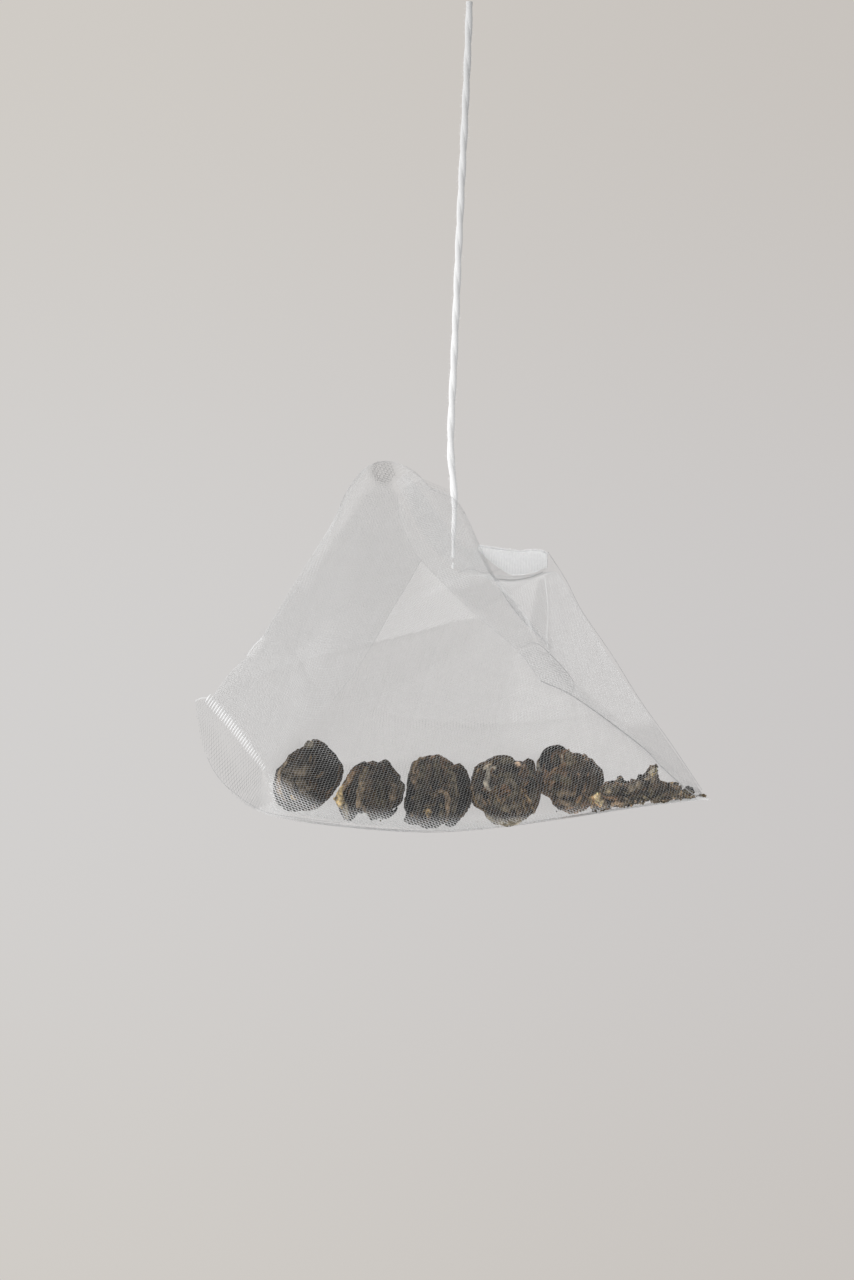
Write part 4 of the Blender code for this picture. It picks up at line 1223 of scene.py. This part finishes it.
def fin_weave(name, first, second, width, material, side, tone_at, start=0.0):
    """One woven layer of a seal's fin."""
    length = float(np.linalg.norm(np.diff(curve_table(first)[1], axis=0), axis=1).sum())
    places, inside, over = lattice(length, width)
    along, across = np.clip(places[..., 0] / length, 0, 1), np.clip(places[..., 1] / width, 0, 1)
    inside &= along >= start
    if first is TOP_SEAL:
        inside &= (along < 0.58) | (across <= fin_level(along, CRESCENT_TOP))
    centres = ruled(first, second, along, across)
    step = 0.002
    normals = np.cross(
        ruled(first, second, np.clip(along + step, 0, 1), across)
        - ruled(first, second, np.clip(along - step, 0, 1), across),
        ruled(first, second, along, across + step) - centres,
    )
    normals /= np.maximum(np.linalg.norm(normals, axis=-1, keepdims=True), 1e-12)
    centres = centres + side * 0.07 * MM * normals
    return woven(name, centres, normals, inside, over, np.clip(tone_at(along, centres), 0, 0.98), material)


def build_fins(material):
    """Fins of the two seals: two layers of film each, melted together near the far top corner."""
    pieces = []
    for label, side in (("front", 1), ("back", -1)):
        pieces += fin_weave(
            f"bottom_fin_{label}", BOTTOM_SEAL, BOTTOM_FIN_EDGE, FIN_WIDTH, material, side,
            # Painted light and shade: near the left end the fin takes the film's painted tone, elsewhere it is painted
            # brighter
            lambda along, centres: np.where(along < 0.22, 0.95 * film_tone(centres), 1.5 * BASE_TONE),
        )
        pieces += fin_weave(
            f"top_fin_{label}", TOP_SEAL, TOP_FIN_EDGE, 3.4 * MM, material, side, top_fin_tone, 0.07,
        )
    pieces += crescent(material)
    return pieces


def crescent(material):
    """White end of the top seal, melted into a ribbed slab that lets light through, with a frayed edge."""
    first, last, steps = 0.60, 1.0, 280
    along, across = np.meshgrid(np.linspace(first, last, steps), np.linspace(0, 1, 14), indexing="ij")
    share = (along - first) / (last - first)
    top = fin_level(along, CRESCENT_TOP)
    low = np.minimum(fin_level(along, CRESCENT_BOTTOM), top - 0.02)
    places = ruled(TOP_SEAL, TOP_FIN_EDGE, along, low + (top - low) * across)
    square = np.cross(np.gradient(places, axis=0), np.gradient(places, axis=1))
    square /= np.maximum(np.linalg.norm(square, axis=-1, keepdims=True), 1e-12)
    ridges = 0.5 + 0.5 * np.sin(share * 2 * np.pi * CRESCENT_RIDGES)
    rim = np.minimum(1, np.minimum(across, 1 - across) / 0.04)
    thick = (CRESCENT_HALF + CRESCENT_RIDGE * ridges) * rim**0.5 * np.clip(share / 0.12, 0.1, 1)
    leaf = square * thick[..., None]
    ring = np.concatenate([places + leaf, (places - leaf)[:, ::-1]], axis=1)
    mesh = grid_mesh("fused_crescent", ring, closed=True)
    # Painted light: the slab brighter towards its top edge; a little darker on its ribs
    level = np.minimum(0.72 + 0.34 * across - 0.05 * ridges, 1)
    put_colour(mesh, "tone", np.concatenate([level, level[:, ::-1]], axis=1).reshape(-1, 1) * np.ones(3))
    pieces = [new_piece("fused_crescent", mesh, fused_material())]
    rng = np.random.default_rng(5)
    count = 900
    pick = rng.integers(2, steps, count)
    reach = np.linspace(0, 1, 5)[None, :, None]
    lean = np.stack([rng.normal(0, 0.35, count), rng.normal(0, 0.4, count), rng.uniform(0.25, 1.0, count)], axis=1)
    hairs = places[pick, -1][:, None] + lean[:, None] * reach * rng.uniform(0.1, 0.38, count)[:, None, None] * MM
    hairs = hairs + np.array((0.12, 0, 0)) * MM * np.sin(reach * 3)
    inside = np.ones(hairs.shape[:-1], bool)
    normals = np.broadcast_to((0.0, -1.0, 0.0), hairs.shape)
    fray = thread_mesh("crescent_fray", hairs, normals, inside, 0.018 * MM, np.full(inside.shape, 0.97))
    pieces.append(new_piece("crescent_fray", fray, material))
    return pieces


def build_camera():
    """Camera level with the bag, at the photograph's angle."""
    data = bpy.data.cameras.new("camera")
    data.sensor_fit = "VERTICAL"
    data.sensor_height = SENSOR_HEIGHT
    data.lens = SENSOR_HEIGHT * CAMERA_DISTANCE / VIEW_HEIGHT
    data.clip_start = 0.01
    camera = bpy.data.objects.new("camera", data)
    bpy.context.scene.collection.objects.link(camera)
    camera.location = (VIEW_CENTRE[0], -CAMERA_DISTANCE, VIEW_CENTRE[2])
    camera.rotation_euler = (math.radians(90), 0, 0)
    bpy.context.scene.camera = camera
    return camera


def build_string():
    """Two plies of cotton twisted together, from the knot down to the weld."""
    table = curve_table(STRING_ROUTE)
    low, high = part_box("cotton_string")
    route = curve_at(table, np.linspace(0.0, 1.0, STRING_RINGS))
    inside = (route[:, 2] <= high[2] + 0.1 * MM) & (route[:, 2] >= low[2] - 0.1 * MM)
    route = route[inside]
    heights = route[:, 2]
    run = np.gradient(route, axis=0)
    run /= np.linalg.norm(run, axis=1, keepdims=True)
    side = np.cross(run, (0, 1, 0))
    side /= np.linalg.norm(side, axis=1, keepdims=True)
    other = np.cross(run, side)
    squeeze = np.interp(heights, STRING_SQUEEZE[0], STRING_SQUEEZE[1])[:, None]
    centres = []
    for ply in range(2):
        turn = 2 * np.pi * heights / TWIST_PITCH + np.pi * ply
        out = np.cos(turn)[:, None] * side + np.sin(turn)[:, None] * other
        centres.append((route + out * PLY_OFFSET * squeeze, out))
    sections = 10
    points = []
    for centre, out in centres:
        across = np.cross(run, out)
        angle = 2 * np.pi * np.arange(sections) / sections
        ring = out[:, None] * np.cos(angle)[None, :, None] + across[:, None] * np.sin(angle)[None, :, None]
        points.append(centre[:, None] + ring * PLY_RADIUS * squeeze[:, None])
    count = len(route)
    faces = []
    for n in range(2):
        base = n * count * sections
        here = base + np.arange(count * sections).reshape(count, sections)
        there = np.roll(here, -1, axis=1)
        quads = np.stack([here[:-1], there[:-1], there[1:], here[1:]], axis=-1).reshape(-1, 4)
        faces.append(quads)
    mesh = raw_mesh("twisted_string", np.vstack([p.reshape(-1, 3) for p in points]), np.vstack(faces))
    # Painted light: the string lighter towards its lower end
    tones = np.interp(np.vstack([p.reshape(-1, 3) for p in points])[:, 2], *STRING_PAINTED_LIGHT)
    put_colour(mesh, "tone", tones[:, None] * np.ones(3))
    mesh.shade_smooth()
    cotton = cotton_material("cotton", True)
    string = new_piece("twisted_string", mesh, cotton)
    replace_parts(string, "cotton_string")
    bpy.data.objects["string_knot"].data.materials[0] = cotton_material("cotton knot", False)
    low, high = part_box("string_weld")
    directions, quads = sphere_directions(8)
    blob = (np.array(low) + high) / 2 + directions * (np.array(high) - low) * WELD_FLATNESS
    weld = raw_mesh("string_weld_smear", blob, quads)
    # The weld takes the string's lightest painted tone.
    put_colour(weld, "tone", np.full((len(blob), 3), STRING_PAINTED_LIGHT[1][0]))
    weld.shade_smooth()
    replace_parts(new_piece("string_weld_smear", weld, cotton), "string_weld")
    fuzz = new_piece("string_fuzz", fuzz_mesh(route, run, side, other), cotton)


def fuzz_mesh(route, run, side, other):
    """Fine cotton hairs that stand off the string."""
    rng = np.random.default_rng(9)
    pick = rng.integers(0, len(route) - 12, FUZZ_HAIRS)
    angle = rng.uniform(0, 2 * np.pi, FUZZ_HAIRS)
    out = np.cos(angle)[:, None] * side[pick] + np.sin(angle)[:, None] * other[pick]
    along = rng.normal(0, 0.7, FUZZ_HAIRS)[:, None] * run[pick]
    length = rng.uniform(0.05, 0.38, FUZZ_HAIRS)[:, None, None] * MM
    reach = np.linspace(0, 1, 5)[None, :, None]
    hairs = route[pick][:, None] + out[:, None] * (0.42 * MM + length * reach) + along[:, None] * length * reach**2
    normals = np.broadcast_to((0.0, -1.0, 0.0), hairs.shape)
    inside = np.ones(hairs.shape[:-1], bool)
    return thread_mesh("string_fuzz", hairs, normals, inside, 0.007 * MM, np.full(inside.shape, 0.9))


def backdrop_colour(tree, socket):
    """Pale warm grey, a little darker to the right and warmer above and below."""
    place = tree.nodes.new("ShaderNodeTexCoord")
    parts = tree.nodes.new("ShaderNodeSeparateXYZ")
    tree.links.new(place.outputs["Generated"], parts.inputs[0])
    across = tree.nodes.new("ShaderNodeMapRange")
    across.interpolation_type = "SMOOTHSTEP"
    across.inputs["From Min"].default_value = -0.10
    across.inputs["From Max"].default_value = 0.11
    tree.links.new(parts.outputs["X"], across.inputs["Value"])
    lifted = tree.nodes.new("ShaderNodeMath")
    lifted.inputs[1].default_value = BACKDROP_DROP
    tree.links.new(parts.outputs["Z"], lifted.inputs[0])
    height = tree.nodes.new("ShaderNodeMath")
    height.operation = "ABSOLUTE"
    tree.links.new(lifted.outputs[0], height.inputs[0])
    away = tree.nodes.new("ShaderNodeMapRange")
    away.interpolation_type = "SMOOTHSTEP"
    away.inputs["From Min"].default_value = 0.01
    away.inputs["From Max"].default_value = 0.13
    tree.links.new(height.outputs[0], away.inputs["Value"])
    middle, ends = (tree.nodes.new("ShaderNodeMix") for _ in range(2))
    for node, factor, colours in (
        (middle, across, (BACKDROP_LEFT, BACKDROP_RIGHT)),
        (ends, away, (None, BACKDROP_ENDS)),
    ):
        node.data_type = "RGBA"
        tree.links.new(factor.outputs[0], node.inputs[0])
        for socket_index, colour in zip((6, 7), colours):
            if colour:
                node.inputs[socket_index].default_value = (*colour, 1)
    ends.blend_type = "MULTIPLY"
    tree.links.new(middle.outputs[2], ends.inputs[6])
    tree.links.new(ends.outputs[2], socket)


def build_light():
    """Soft studio light from the upper left, and the pale backdrop that only the view sees."""
    world = bpy.data.worlds.new("studio")
    bpy.context.scene.world = world
    world.use_nodes = True
    tree = world.node_tree
    tree.nodes.clear()
    out = tree.nodes.new("ShaderNodeOutputWorld")
    blend = tree.nodes.new("ShaderNodeMixShader")
    light = tree.nodes.new("ShaderNodeBackground")
    side_light(tree, light.inputs["Color"])
    shown = tree.nodes.new("ShaderNodeBackground")
    backdrop_colour(tree, shown.inputs["Color"])
    path = tree.nodes.new("ShaderNodeLightPath")
    seen = tree.nodes.new("ShaderNodeMath")
    seen.operation = "MAXIMUM"
    tree.links.new(path.outputs["Is Camera Ray"], seen.inputs[0])
    tree.links.new(path.outputs["Is Transmission Ray"], seen.inputs[1])
    tree.links.new(seen.outputs[0], blend.inputs[0])
    tree.links.new(light.outputs[0], blend.inputs[1])
    tree.links.new(shown.outputs[0], blend.inputs[2])
    tree.links.new(blend.outputs[0], out.inputs[0])
    add_lamp("key", (-0.45, -0.35, 0.35), 0.5, 1.2)
    add_lamp("fill", (0.6, -0.5, 0.0), 0.6, 0.3)


def side_light(tree, socket):
    """Light of the surroundings, brighter from the left and dimmer from the right."""
    place = tree.nodes.new("ShaderNodeTexCoord")
    parts = tree.nodes.new("ShaderNodeSeparateXYZ")
    tree.links.new(place.outputs["Generated"], parts.inputs[0])
    level = tree.nodes.new("ShaderNodeMapRange")
    level.inputs["From Min"].default_value = -1.0
    level.inputs["From Max"].default_value = 1.0
    level.inputs["To Min"].default_value = LIGHT_LEFT
    level.inputs["To Max"].default_value = LIGHT_RIGHT
    tree.links.new(parts.outputs["X"], level.inputs["Value"])
    tree.links.new(level.outputs[0], socket)


def add_lamp(name, place, size, power):
    """Square lamp that faces the bag."""
    data = bpy.data.lights.new(name, "AREA")
    data.size = size
    data.energy = power
    lamp = bpy.data.objects.new(name, data)
    bpy.context.scene.collection.objects.link(lamp)
    lamp.location = place
    aim = Vector(VIEW_CENTRE) - Vector(place)
    lamp.rotation_euler = aim.to_track_quat("-Z", "Y").to_euler()


def main():
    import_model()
    bpy.context.scene.view_settings.view_transform = "Standard"
    build_camera()
    build_light()
    build_string()
    grid, normal = make_film_grid()
    build_film(grid, normal)
    build_tea()


main()
